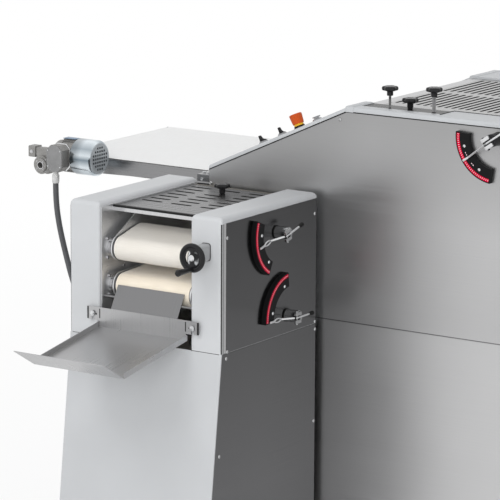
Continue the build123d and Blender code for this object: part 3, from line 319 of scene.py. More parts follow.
finishSettings = {
    painted: {  # colour, roughness
        "silverPaint": ((0.540, 0.550, 0.560), 0.40),
        "capPaint": ((0.495, 0.507, 0.518), 0.40),
        "housingPaint": ((0.36, 0.365, 0.37), 0.34),
        "pedestalPaint": ((0.512, 0.522, 0.532), 0.42),
    },
    brushed: {  # colour, roughness, grain, contrast, depth, painted shade, metal, edge
        # the side panels' dark tone is a painted reflection of the dark surroundings they mirror
        "sideSteel": ((0.206, 0.206, 0.21), 0.20, (400, 3, 400), 0.05, 0.00002, (sideShadeFade,)),
        "panelSteel": ((0.69, 0.69, 0.695), 0.34, panelGrain, 0.025, 0.000006, (headReflectionFade, topShadeFade)),
        "bodySteel": ((0.53, 0.53, 0.535), 0.34, panelGrain, 0.025, 0.000006),
        "frameSteel": ((0.22, 0.22, 0.225), 0.38, (300, 3, 500), 0.06),
        "lowerPanelSteel": ((0.755, 0.755, 0.76), 0.36, panelGrain, 0.025, 0.000006, (headReflectionFade,)),
        "plainSteel": ((0.66, 0.66, 0.665), 0.34, (300, 3, 500), 0.06),
        # painted light: a lighter, less metallic copy of the steel for the plates and cradles inside the head, to make
        # up for the shade there
        "innerSteel": ((0.74, 0.745, 0.755), 0.36, (300, 3, 500), 0.05, 0.00001, (), 0.8),
        # painted light and reflection: the back plate is lightened against the shade behind the belts and warmed for
        # the cream belts it mirrors
        "backSteel": ((0.37, 0.35, 0.31), 0.40, (3, 300, 400), 0.08),
        "guardSteel": ((0.40, 0.40, 0.405), 0.26, (3, 500, 300), 0.05, 0.00001, (), 1.0, 0.60),
        "topGuardSteel": ((0.68, 0.68, 0.68), 0.28, (400, 3, 300), 0.05, 0.00001, (), 1.0, 0.65),
        "knobPlateSteel": ((0.27, 0.27, 0.27), 0.28, (400, 3, 300), 0.05, 0.00001, (), 1.0, 0.5),
        "traySteel": ((0.46, 0.46, 0.465), 0.32, (500, 3, 6), 0.03, 0.000006, (), 0.75),
        "chuteSteel": ((0.25, 0.25, 0.255), 0.34, (500, 4, 8), 0.03, 0.00001),
        "conveyorSteel": ((0.28, 0.28, 0.285), 0.28, (3, 400, 500), 0.06),
        "groundSteel": ((0.62, 0.62, 0.63), 0.20, fineGrain, 0.08),
        "hubSteel": ((0.42, 0.425, 0.43), 0.16, fineGrain, 0.08),
        "threadSteel": ((0.33, 0.33, 0.335), 0.36, fineGrain, 0.08, 0.00002, (), 0.7),
        "rodSteel": ((0.70, 0.705, 0.715), 0.34, smallGrain, 0.04, 0.00001, (), 0.8),
        "screwSteel": ((0.52, 0.525, 0.53), 0.18, smallGrain, 0.05),
        "stemSteel": ((0.30, 0.30, 0.30), 0.30, fineGrain, 0.08),
        "brightSteel": ((0.70, 0.71, 0.72), 0.16, smallGrain, 0.05),
        "rollerSteel": ((0.52, 0.52, 0.53), 0.22, (600, 3, 600), 0.06),
        "bezelChrome": ((0.30, 0.305, 0.315), 0.10, (60, 60, 60), 0.03, 0.00001),
        "plateBlue": ((0.17, 0.25, 0.36), 0.30, (4, 300, 300), 0.06),
    },
    # the cowl's bright and dark tones are those of its painted reflection bands
    zincSheet: {"zincCowl": ((0.80, 0.86, 0.90), (0.22, 0.27, 0.31), 0.16)},  # bright, dark, roughness
    cast: {  # colour, roughness, metal, grain, depth
        "castGrey": ((0.30, 0.295, 0.285), 0.46, 0.55),
        "motorGrey": ((0.27, 0.265, 0.255), 0.48, 0.45),
        "boxGrey": ((0.25, 0.25, 0.25), 0.50, 0.20, 500.0, 0.0001),
    },
    moulded: {  # colour, roughness, grain, depth, gloss
        "blackGloss": ((0.010, 0.010, 0.011), 0.26, 700.0, 0.00003, 0.28),
        "hubBlack": ((0.012, 0.012, 0.013), 0.34, 700.0, 0.00003, 0.22),
        "blackMatt": ((0.010, 0.010, 0.010), 0.55, 700.0, 0.00005, 0.2),
        "fanBlack": ((0.012, 0.012, 0.012), 0.50, 700.0, 0.00005, 0.2),
        "scaleBlack": ((0.006, 0.006, 0.0065), 0.42, 700.0, 0.00004, 0.14),
        "scaleRed": ((0.60, 0.001, 0.036), 0.60, 700.0, 0.00004, 0.04),
        "tickWhite": ((0.80, 0.60, 0.63), 0.55, 700.0, 0.00005, 0.2),
        "stopRed": ((0.54, 0.078, 0.007), 0.38, 700.0, 0.00005, 0.3),
        "collarYellow": ((0.84, 0.47, 0.012), 0.40),
        "paleNylon": ((0.62, 0.62, 0.61), 0.45),
        "conduitGrey": ((0.085, 0.087, 0.092), 0.42, 240.0),
        "rubberBlack": ((0.018, 0.018, 0.018), 0.72, 700.0, 0.00005, 0.25),
    },
    woven: {  # colour, thread, roughness, depth, stain, sheen
        "canvas": ((0.82, 0.785, 0.725), 0.0011, 0.86, 0.00035, 0.06),
        # the lower belt is the same canvas, lighter and warmer as painted light against the shade under the upper belt;
        # its heavier stain is dirt
        "usedCanvas": ((0.92, 0.835, 0.70), 0.0011, 0.86, 0.00035, 0.09, 0.6),
        "beltWhite": ((0.86, 0.86, 0.85), 0.0008, 0.46, 0.00006, 0.02),
    },
}
finishes = {name: make(name, *values) for make, rows in finishSettings.items() for name, values in rows.items()}
print("finishes made:", len(finishes))

nodeFinish = {
    "silverPaint": ("head_left_cheek", "head_right_cheek"),
    "capPaint": ("main_caps",),
    "housingPaint": ("handwheel_housing",),
    "pedestalPaint": ("pedestal_front_panel",),
    "sideSteel": ("side_panels",),
    "panelSteel": ("main_front_upper_panel",),
    "bodySteel": ("closing_panels", "slope_cover"),
    "lowerPanelSteel": ("main_front_lower_panel",),
    "plainSteel": ("base_plates",),
    "frameSteel": ("main_side_frames", "roller_carriage"),
    "innerSteel": ("head_inner_plates", "upper_cradle", "lower_cradle"),
    "backSteel": ("head_back_plate",),
    "guardSteel": ("head_guard",),
    "topGuardSteel": ("main_guard",),
    "knobPlateSteel": ("knob_plate",),
    "traySteel": ("tray",),
    "chuteSteel": ("chute_plate",),
    "conveyorSteel": ("conveyor_frame",),
    "groundSteel": ("bearing_flanges", "guard_bars", "spindle_nut"),
    "rollerSteel": ("upper_front_drum", "upper_rear_drum", "lower_front_drum", "lower_rear_drum", "fixed_roller",
                    "gap_roller", "conveyor_drive_roller", "conveyor_tail_roller"),
    "zincCowl": ("fan_cowl",),
    "castGrey": ("gearbox",),
    "motorGrey": ("drive_motor", "motor_body"),
    "fanBlack": ("cooling_fan",),
    "scaleBlack": ("scale_plates",),
    "blackGloss": ("handwheel", "handwheel_grip", "guard_knob", "top_knob_left", "top_knob_middle", "top_knob_right",
                   "selector_left", "selector_right"),
    "stopRed": ("estop_button",),
    "bezelChrome": ("start_button", "switch_collars"),
    "paleNylon": ("conduit_glands",),
    "rubberBlack": ("levelling_feet",),
    "brightSteel": ("upper_lever", "lower_lever", "main_lever"),
    "canvas": ("upper_belt",),
    "usedCanvas": ("lower_belt",),
    "beltWhite": ("conveyor_belt",),
    "conduitGrey": ("conduit",),
}
for finish, names in nodeFinish.items():
    for name in names:
        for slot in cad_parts[name].material_slots:
            slot.material = finishes[finish]
print("nodes finished:", sum(len(names) for names in nodeFinish.values()))

# conduit from the motor's terminal box to the body's left end
conduitSettings = {
    "route": (
        (-825, -2, 1105.7), (-825, -2, 1050), (-813, -1, 975), (-792, 1, 895), (-768, 5, 810), (-730, 12, 722),
        (-676, 24, 640), (-606, 39, 570), (-522, 54, 516), (-425, 68, 480), (-372, 74, 468.6), (-333.5, 74, 468.6),
    ),
    "diameter": 17.0,
    "length": 0.895,
    "smooth": (12, 6),  # steps along the line and round the hose
}


def conduitPiece(settings):
    curve = bpy.data.curves.new("conduitLine", "CURVE")
    curve.dimensions = "3D"
    line = curve.splines.new("NURBS")
    line.points.add(len(settings["route"]) - 1)
    for point, place in zip(line.points, settings["route"]):
        point.co = (*(Vector(place) * mm), 1)
    line.order_u = 3
    line.use_endpoint_u = True
    line.resolution_u, curve.bevel_resolution = settings["smooth"]
    curve.bevel_depth = settings["diameter"] / 2 * mm
    curve.use_fill_caps = True
    curve.materials.append(finishes["conduitGrey"])
    piece = addObject("conduitHose", curve)
    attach(piece, "machine")
    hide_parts("conduit")


conduitPiece(conduitSettings)
print("conduit laid")

# mesh helpers, in millimetres until finishPiece
alongX, alongY, upward = (1, 0, 0), (0, 1, 0), (0, 0, 1)
toLeft, toFront, downward = (-1, 0, 0), (0, -1, 0), (0, 0, -1)


def axesAt(origin, along, outward):
    along, outward = Vector(along).normalized(), Vector(outward).normalized()
    turn = Matrix((along, outward.cross(along), outward)).transposed().to_4x4()
    return Matrix.Translation(origin) @ turn


def facing(origin, outward):
    outward = Vector(outward)
    side = Vector(upward) if abs(outward.z) < 0.9 * outward.length else Vector(alongX)
    return axesAt(origin, side.cross(outward), outward)


def moved(place, *shift):
    return place @ Matrix.Translation(shift)


def wayOf(place, way):
    return place.to_3x3() @ Vector(way)


def polar(reach, turn, height=0.0):
    return Vector((reach * cos(turn), reach * sin(turn), height))


def addFace(bm, corners, finish=0):
    face = bm.faces.new(corners)
    face.material_index = finish


def bridge(bm, rings, finish=0, loop=False):
    # faces from ring to ring, where a ring of one point is a tip
    for low, high in zip(rings, (*rings[1:], rings[0]) if loop else rings[1:]):
        count = max(len(low), len(high))
        for step in range(count):
            after = (step + 1) % count
            corners = (low[step % len(low)], low[after % len(low)], high[after % len(high)], high[step % len(high)])
            addFace(bm, list(dict.fromkeys(corners)), finish)


def placed(bm, place, outline, height):
    return [bm.verts.new(place @ Vector((x, y, height))) for x, y in outline]


def spun(bm, place, profile, steps=24, finish=0):
    # profile of radius and height about the place's Z, with a third number for a ring of flats
    rings = []
    for radius, height, *flats in profile:
        ring = []
        for step in range(steps if radius else 1):
            turn = 2 * pi * step / steps
            reach = radius
            if flats:
                half = pi / flats[0]
                reach = radius * cos(half) / cos(turn % (2 * half) - half)
            ring.append(bm.verts.new(place @ polar(reach, turn, height)))
        rings.append(ring)
    bridge(bm, rings, finish)


def slab(bm, place, outline, low, high, bevel=0.0, finish=0):
    # outline runs anticlockwise seen from the place's +Z
    lower, upper = placed(bm, place, outline, low), placed(bm, place, outline, high)
    made = [bm.faces.new(lower[::-1]), bm.faces.new(upper)]
    for step in range(len(outline)):
        after = (step + 1) % len(outline)
        made.append(bm.faces.new((lower[step], lower[after], upper[after], upper[step])))
    for face in made:
        face.material_index = finish
    if bevel:
        edges = list(dict.fromkeys(edge for face in made for edge in face.edges))
        bmesh.ops.bevel(bm, geom=edges, offset=bevel, segments=2, profile=0.5, affect="EDGES", clamp_overlap=True,
                        material=finish)


def bar(bm, place, size, bevel=0.0, finish=0):
    wide, deep, tall = (part / 2 for part in size)
    slab(bm, place, ((-wide, -deep), (wide, -deep), (wide, deep), (-wide, deep)), -tall, tall, bevel, finish)


def roundedBox(wide, tall, corner, steps=4):
    outline = []
    for quarter, (x, y) in enumerate(((1, 1), (-1, 1), (-1, -1), (1, -1))):
        for step in range(steps + 1):
            turn = pi / 2 * (quarter + step / steps)
            outline.append((x * (wide / 2 - corner) + corner * cos(turn), y * (tall / 2 - corner) + corner * sin(turn)))
    return outline


def swept(bm, points, radius, sides=12, finish=0, loop=False):
    points = [Vector(point) for point in points]
    count = len(points)
    rings = []
    normal = None
    for index, point in enumerate(points):
        ahead = points[(index + 1) % count] if loop or index + 1 < count else point
        behind = points[index - 1] if loop or index else point
        way = (ahead - behind).normalized()
        if normal is None:
            normal = way.orthogonal()
        normal = (normal - way * normal.dot(way)).normalized()
        side = way.cross(normal)
        turns = [2 * pi * step / sides for step in range(sides)]
        rings.append([bm.verts.new(point + (normal * cos(turn) + side * sin(turn)) * radius) for turn in turns])
    bridge(bm, rings, finish, loop)
    if not loop:
        addFace(bm, rings[0][::-1], finish)
        addFace(bm, rings[-1], finish)


def softPath(points, steps=6):
    # rounded line through the points of a bent rod
    points = [Vector(point) for point in points]
    line = []
    for index in range(len(points) - 1):
        before = points[max(index - 1, 0)]
        start, stop = points[index], points[index + 1]
        beyond = points[min(index + 2, len(points) - 1)]
        for step in range(steps):
            t = step / steps
            line.append(0.5 * (2 * start + (stop - before) * t + (2 * before - 5 * start + 4 * stop - beyond) * t ** 2
                               + (3 * start - before - 3 * stop + beyond) * t ** 3))
    line.append(points[-1])
    return line


def lobed(bm, place, rows, lobes, notch, start=0.0, steps=72):
    # turned shape with lobes: rows of radius, share of the notch and height
    valley = 1.4  # how narrow the valleys are
    rings = []
    for radius, share, height in rows:
        ring = []
        for step in range(steps if radius else 1):
            turn = 2 * pi * step / steps
            reach = radius - share * notch * (0.5 - 0.5 * cos(lobes * (turn - start))) ** valley
            ring.append(bm.verts.new(place @ polar(reach, turn, height)))
        rings.append(ring)
    bridge(bm, rings)


def lofted(bm, place, sections):
    # sections of outline and height, each anticlockwise seen from the place's +Z
    rings = [placed(bm, place, outline, height) for outline, height in sections]
    bridge(bm, rings)
    addFace(bm, rings[0][::-1])
    addFace(bm, rings[-1])


def ringed(bm, place, sections):
    # closed ring through its sections, each an outline and its height
    bridge(bm, [placed(bm, place, outline, height) for outline, height in sections], 0, True)


def finishPiece(bm, name, body, looks, stands=(), sharp=35.0):
    bmesh.ops.scale(bm, vec=(mm, mm, mm), verts=bm.verts)
    mesh = bpy.data.meshes.new(name)
    bm.to_mesh(mesh)
    bm.free()
    for look in looks.split():
        mesh.materials.append(finishes[look])
    mesh.shade_smooth()
    mesh.set_sharp_from_angle(angle=radians(sharp))
    piece = addObject(name, mesh)
    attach(piece, body)
    if stands:
        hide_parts(*stands)
    return piece


def spunPiece(name, body, look, places, profile, steps, stands=()):
    bm = bmesh.new()
    for place in places:
        spun(bm, place, profile, steps)
    finishPiece(bm, name, body, look, stands)


def buttonScrew(bm, place, radius, height):
    socket = 0.46 * radius
    spun(bm, place, ((radius, -0.2), (radius, 0.25 * height), (0.88 * radius, 0.62 * height),
                     (0.62 * radius, 0.93 * height), (socket + 0.3, height, 6), (socket, 0.96 * height, 6),
                     (socket, 0.35 * height, 6), (0, 0.25 * height)))


def socketScrew(bm, place, radius, height):
    socket = 0.52 * radius
    spun(bm, place, ((radius, -0.2), (radius, height - 0.5), (radius - 0.5, height), (socket + 0.2, height, 6),
                     (socket, height - 0.2, 6), (socket, 0.4 * height, 6), (0, 0.35 * height)))


headFront = -466.0
headSides = ((77.5, 1), (-427.5, -1))  # X of the head's side panels and which way they look

# screws of the panels
panelScrewSettings = {
    "headRows": ((26, 317), (461, 315), (27, 4), (466, 6), (22, -14), (467, -16), (-10, -280),
                 (464, -281)),  # from the head's front foot
    "headFoot": 800,
    "front": ((139.6, 24, 1382.1), (-291.5, 24, 1158.0), (944, 24, 1388), (944, 24, 836), (944, 24, 790),
              (944, 24, 82)),
    "leftEnd": [(-297.5, y, z) for y in (48, 835) for z in (130, 480, 830, 1160)],
    "innerPlates": ((-324.5, 1), (-25.5, -1)),
    "shafts": ((-407, 1042), (-399, 937)),
    "shaftReach": 26.0,
    "plateDot": (-324.5, -354.5, 982.2),
    # radius and height of the heads
    "panelHead": (5.2, 3.0),
    "bearingHead": (4.2, 4.0),
    "dotHead": (3.6, 2.2),
}


def panelScrews(settings):
    spots = [((x, headFront + along, settings["headFoot"] + up), (side, 0, 0))
             for x, side in headSides for along, up in settings["headRows"]]
    spots += [(place, toFront) for place in settings["front"]]
    spots += [(place, toLeft) for place in settings["leftEnd"]]
    bm = bmesh.new()
    for place, outward in spots:
        buttonScrew(bm, facing(place, outward), *settings["panelHead"])
    finishPiece(bm, "panelScrews", "machine", "screwSteel")
    bm = bmesh.new()
    steps = (-settings["shaftReach"], settings["shaftReach"])
    for x, side in settings["innerPlates"]:
        for y, z in settings["shafts"]:
            for stepY in steps:
                for stepZ in steps:
                    socketScrew(bm, facing((x, y + stepY, z + stepZ), (side, 0, 0)), *settings["bearingHead"])
    buttonScrew(bm, facing(settings["plateDot"], alongX), *settings["dotHead"])
    finishPiece(bm, "bearingScrews", "machine", "groundSteel")


panelScrews(panelScrewSettings)

# a dark strip on each cheek's outer corner as painted shade of a groove, folded strips there, a folded foot with a
# painted shadow line under it, a dark line at the front foot, rolled lip, seam of the main front panels
borderSettings = {
    "round": 6.0,
    "groove": (28.0, 60.0),  # degrees round the corner
    "strips": (-454.6, -445.6),  # end of the fold, end of the strip behind it
    "heights": (801.0, 1157.0),
    "proud": (0.25, 0.45),  # fold and groove, strip
    "sunk": 0.2,
    "joint": (-461.0, 1.0),  # folded foot of the side panels
    "jointHeights": (800.4, 801.8),
    "jointThick": 0.6,
    "footProud": (0.2, 0.1),  # folded foot, dark line under it
    "bevels": (0.15, 0.1),  # folded foot, lines
    "shadow": (0.7, 0.5, 1.0),  # dark line under the foot: drop, thickness, height
    "frontLine": (53.0, 800.0, (92.0, 0.5, 1.5)),  # dark line at the front: inset, height, size
    "bead": (-454.0, -3.0, 1159.4, 1.3),  # from, to, height, radius
    "beadSteps": 12,
    "seam": ((331.15, 25.0, 812.1), (1255.3, 1.0, 2.8)),  # middle and size
}


def cornerStrip(bm, x, side, path, settings, proud, finish=0):
    # thin strip on the outside of a cheek's corner, path of points and their outward rays
    rows = [[(x + side * (u + ray[0] * lift), v + ray[1] * lift) for (u, v), ray in path]
            for lift in (proud, -settings["sunk"])]
    outline = [*rows[0], *rows[1][::-1]]
    slab(bm, Matrix(), outline if side > 0 else outline[::-1], *settings["heights"], 0.0, finish)


def cornerPath(reach, start, stop, steps=6):
    # part of the rounded corner by angle, from the front face
    turns = [radians(start + (stop - start) * step / steps) for step in range(steps + 1)]
    return [((reach * (sin(turn) - 1), headFront + reach * (1 - cos(turn))), (sin(turn), -cos(turn))) for turn in turns]


def cheekBorders(settings):
    dark, steel, lip = bmesh.new(), bmesh.new(), bmesh.new()
    reach, (first, last) = settings["round"], settings["groove"]
    foldEnd, stripEnd = (((0, y), (1, 0)) for y in settings["strips"])
    low, raised = settings["proud"]
    jointStart, jointStop = settings["joint"]
    jointLow, jointHigh = settings["jointHeights"]
    drop, thick, tall = settings["shadow"]
    inset, lineHeight, lineSize = settings["frontLine"]
    beadStart, beadStop, beadHeight, beadRadius = settings["bead"]
    footProud, lineProud = settings["footProud"]
    footBevel, lineBevel = settings["bevels"]
    long, middle = jointStop - jointStart, (jointStart + jointStop) / 2
    for x, side in headSides:
        cornerStrip(dark, x, side, cornerPath(reach, first, last), settings, low)
        cornerStrip(steel, x, side, [*cornerPath(reach, last, 90), foldEnd], settings, low)
        cornerStrip(steel, x, side, [foldEnd, stripEnd], settings, raised, 1)
        foot = axesAt((x + footProud * side, middle, (jointLow + jointHigh) / 2), alongY, upward)
        bar(steel, foot, (long, settings["jointThick"], jointHigh - jointLow), footBevel)
        line = axesAt((x + lineProud * side, middle, jointLow - drop), alongY, upward)
        bar(dark, line, (long, thick, tall), lineBevel)
        bar(dark, axesAt((x - side * inset, headFront, lineHeight), alongX, upward), lineSize, lineBevel)
        steps = settings["beadSteps"]
        swept(lip, [(x - settings["sunk"] * side, beadStart + (beadStop - beadStart) * step / steps, beadHeight)
                    for step in range(steps + 1)], beadRadius)
    seamMiddle, seamSize = settings["seam"]
    bar(steel, axesAt(seamMiddle, alongX, upward), seamSize, lineBevel, 2)
    finishPiece(dark, "cheekShadeLines", "machine", "rubberBlack")
    finishPiece(steel, "panelFolds", "machine", "hubSteel plainSteel frameSteel")
    finishPiece(lip, "cheekLips", "machine", "silverPaint")


cheekBorders(borderSettings)

# arc scales: red strip with fine ticks, and the screws of the black plates
scaleSettings = {
    "places": {
        # plane, first angle, angles of the screws from it and their reach
        "upper": (axesAt((77.5, -200, 1095), alongY, alongX), 156.8, (19.8, 75.1), 93.0),
        "lower": (axesAt((77.5, -146, 852), alongY, alongX), 95.4, (14.5, 70.8), 93.0),
        "main": (axesAt((640.5, 24.0, 1377), alongX, toFront), 175.0, (20.8, 65.7), 100.0),
    },
    "span": 87.0,
    "inset": 1.6,  # degrees by which the strip stops short of the plate's ends
    "level": 14.0,
    # cross section of the strip: reach and height over the plate
    "strip": ((111.6, -0.2), (111.8, 0.5), (120.4, 0.5), (120.6, -0.2)),
    "stripSteps": 48,
    "stripHeight": 0.5,
    "ticks": 29,
    "tickInset": 1.2,  # degrees
    "tick": (113.8, 118.0, 1.4),  # near, far, wide
    "tickHeight": 0.3,
    "marks": (206.1, 209.6, 224.9, 228.7),  # white dashes on the main scale, degrees
    "mark": (101.4, 103.6, 3.4),
    "screw": (4.6, 2.6),
}


def scaleTick(bm, place, turn, size, level, tall):
    near, far, wide = size
    middle = place @ polar((near + far) / 2, turn, level)
    bar(bm, axesAt(middle, wayOf(place, polar(1, turn)), wayOf(place, upward)), (far - near, wide, tall), 0.0, 1)


def scaleStrips(settings):
    red, screws = bmesh.new(), bmesh.new()
    level, rise, tall = settings["level"], settings["stripHeight"], settings["tickHeight"]
    steps, ticks, inset = settings["stripSteps"], settings["ticks"], settings["tickInset"]
    for place, start, screwTurns, screwReach in settings["places"].values():
        first, last = start + settings["inset"], start + settings["span"] - settings["inset"]
        rows = []
        for step in range(steps + 1):
            turn = radians(first + (last - first) * step / steps)
            rows.append([red.verts.new(place @ polar(reach, turn, level + high)) for reach, high in settings["strip"]])
        for row, after in zip(rows, rows[1:]):
            for k in range(len(row) - 1):
                addFace(red, (row[k], row[k + 1], after[k + 1], after[k]))
        addFace(red, rows[0][::-1])
        addFace(red, rows[-1])
        for step in range(ticks):
            turn = radians(first + inset + (last - first - 2 * inset) * step / (ticks - 1))
            scaleTick(red, place, turn, settings["tick"], level + rise, tall)
        for turn in screwTurns:
            spot = place @ polar(screwReach, radians(start + turn), level)
            buttonScrew(screws, facing(spot, wayOf(place, upward)), *settings["screw"])
    for turn in settings["marks"]:
        scaleTick(red, settings["places"]["main"][0], radians(turn), settings["mark"], level, tall)
    finishPiece(red, "scaleStrips", "machine", "scaleRed tickWhite")
    finishPiece(screws, "scaleScrews", "machine", "brightSteel")


scaleStrips(scaleSettings)
print("screws and scales made")

# pointer levers with fork, bent rod, eccentric crank
leverSettings = {
    "levers": {
        # pointer angle, shaft depth, pin angle in radians, pin length, with an eye or straight, looks of hub, rod, jaws
        "upper": (195.0, 114.2, 3.29974, 8.3, "eye", "hubSteel rodSteel hubSteel"),
        "lower": (180.0, 114.2, 3.53480, 8.3, "eye", "hubSteel rodSteel hubSteel"),
        "main": (214.6, 96.8, -1.63886, 11.2, "straight", "hubBlack rodSteel rodSteel"),
    },
    "shaft": 8.0,
    "hub": ((16.9, 1.4), (17.5, 2.0), (17.5, 40.6), (16.1, 42.0), (10.2, 42.0), (9.4, 41.4), (0, 41.4)),
    "hubRing": ((17.9, 0.2), (18.4, 0.6), (18.4, 3.4), (17.6, 3.8)),
    "crank": ((0, -4.0), (11.2, -4.0), (12.0, -3.2), (12.0, -0.4), (11.2, 0.0), (0, 0.0)),  # from the shaft's end
    "crankLength": 4.0,
    "pin": (4.0, 6.0),  # radius, offset
    "jaw": (27.0, 9.6, 1.8),  # long, wide, corner
    "jawPlace": (10.6, 11.0),
    "jawLevels": (40.5, 48.0),
    "filler": (24.0, 12.4, 1.5),  # between the jaws
    "fillerLevels": (41.0, 45.6),
    "boltPlace": (15.6, -18.5, 44.4),
    "bolt": ((0, 0), (3.4, 0, 6), (3.6, 0.4, 6), (3.6, 2.6, 6), (2.2, 2.9), (2.2, 35.0), (3.2, 35.2), (3.2, 37.4),
             (2.7, 38.0), (0, 38.0)),
    "rod": 2.8,
    # bends of the rod: reach and level
    "tail": ((-62, 45.0), (-20, 45.0), (12, 45.0)),
    "bends": {"eye": ((17, 44.2), (23, 39.6), (49, 22.8), (55, 19.0), (60, 18.2)),
              "straight": ((20, 43.2), (88, 21.0), (100, 18.2))},
    "tipLevel": 18.2,
    "eye": (15.0, 5.0, 72.0),  # half length, half width, reach of its middle
    "eyeSteps": 36,
    "wire": 2.0,
    "tip": {"eye": (86.0, 110.0), "straight": (98.0, 119.0)},  # flat end from and to
    "tipSize": (5.6, 2.2, 1.3),  # wide, corner, half thickness
    "sleevePlace": (-66.0, 0, 45.0),
    "sleeve": ((0, 0), (3.6, 0), (5.2, 0.8), (5.8, 2.4), (5.8, 11.5), (5.0, 13.4), (4.4, 16), (4.4, 19), (3.4, 20),
               (2.8, 20)),
}


def leverPiece(name, settings, place):
    pointer, depth, pinTurn, pinLength, end, looks = settings["levers"][name]
    turned = axesAt(place.translation, wayOf(place, polar(1, radians(pointer))), wayOf(place, upward))
    ahead, across = wayOf(turned, alongX), wayOf(turned, alongY)
    shaft, level = settings["shaft"], settings["tipLevel"]
    bm = bmesh.new()
    spun(bm, place, ((0, -depth), (shaft, -depth), (shaft, settings["hub"][0][1]), *settings["hub"]), 40)
    spun(bm, moved(place, 0, 0, -depth), settings["crank"], 32)
    pin, offset = settings["pin"]
    pinPlace = moved(place, *polar(offset, pinTurn, -depth - settings["crankLength"]))
    spun(bm, pinPlace, ((0, -pinLength), (pin - 0.6, -pinLength), (pin, -pinLength + 0.6), (pin, 0.2)))
    reach, gap = settings["jawPlace"]
    for side in (-1, 1):
        slab(bm, moved(turned, reach, side * gap, 0), roundedBox(*settings["jaw"]), *settings["jawLevels"], 0.6, 2)
    spun(bm, axesAt(turned @ Vector(settings["boltPlace"]), ahead, across), settings["bolt"])
    path = [turned @ Vector((along, 0, lift)) for along, lift in (*settings["tail"], *settings["bends"][end])]
    swept(bm, softPath(path), settings["rod"], 14, 1)
    if end == "eye":
        eyeLong, eyeWide, eyeReach = settings["eye"]
        turns = [2 * pi * step / settings["eyeSteps"] for step in range(settings["eyeSteps"])]
        eye = [turned @ Vector((eyeReach + eyeLong * cos(turn), eyeWide * sin(turn), level)) for turn in turns]
        swept(bm, eye, settings["wire"], 10, 1, loop=True)
    near, far = settings["tip"][end]
    wide, corner, half = settings["tipSize"]
    slab(bm, moved(turned, (near + far) / 2, 0, level), roundedBox(far - near, wide, corner), -half, half, 0.4, 1)
    finishPiece(bm, name + "LeverArm", name + "_lever", looks, (name + "_lever",))
    bm = bmesh.new()
    spun(bm, place, settings["hubRing"], 40)
    slab(bm, moved(turned, reach, 0, 0), roundedBox(*settings["filler"]), *settings["fillerLevels"], 0.4)
    spun(bm, axesAt(turned @ Vector(settings["sleevePlace"]), across, ahead), settings["sleeve"], 28)
    finishPiece(bm, name + "LeverSleeves", name + "_lever", "blackMatt")


for leverName in leverSettings["levers"]:
    leverPiece(leverName, leverSettings, scaleSettings["places"][leverName][0])
print("levers made")

# fabric belts of the head and the conveyor's belt
headBelt = {"inside": 31.8, "width": 244.0, "middle": -175.0, "slot": "felt", "soft": 0.45}
beltSettings = {
    "upper": {**headBelt, "ends": ((-407, 1042), (-316, 1064)), "body": "upper_cradle", "look": "canvas",
              "bed": ("upper_front_drum", "upper_rear_drum")},
    "lower": {**headBelt, "ends": ((-399, 937), (-76, 956)), "body": "lower_cradle", "look": "usedCanvas",
              "bed": ("lower_front_drum", "lower_rear_drum")},
    "conveyor": {"inside": 22.3, "width": 560.0, "middle": 419.0, "slot": "white_belt", "soft": 0.12,
                 "ends": ((-905, 1145.7), (-241.5, 1145.7)), "body": "machine", "look": "beltWhite",
                 "bed": ("conveyor_drive_roller", "conveyor_tail_roller")},
}
clothSettings = {
    "thick": 2.0,
    "across": 20,  # steps over the width
    "edge": (0.55, 0.45, 30),  # share of thickness at the edge, what is gained inward, how fast
    "underside": 0.25,
    "waves": (5, 2.6),  # round the loop, and their slant
    "ripples": (11, 0.4),  # over the width, and their share of the softness
}


def loopLine(start, stop, radius, arcSteps=26, runSteps=22):
    # closed line round two equal rollers, points with their outward rays
    start, stop = Vector(start), Vector(stop)
    way = (stop - start).normalized()
    left = Vector((-way.y, way.x))
    corner = atan2(left.y, left.x)
    line = []
    for begin, end, out, first in ((start, stop, left, corner), (stop, start, -left, corner + pi)):
        line += [(begin + (end - begin) * k / runSteps + out * radius, out) for k in range(runSteps)]
        for k in range(arcSteps):
            turn = first - pi * k / arcSteps
            ray = Vector((cos(turn), sin(turn)))
            line.append((end + ray * radius, ray))
    return line


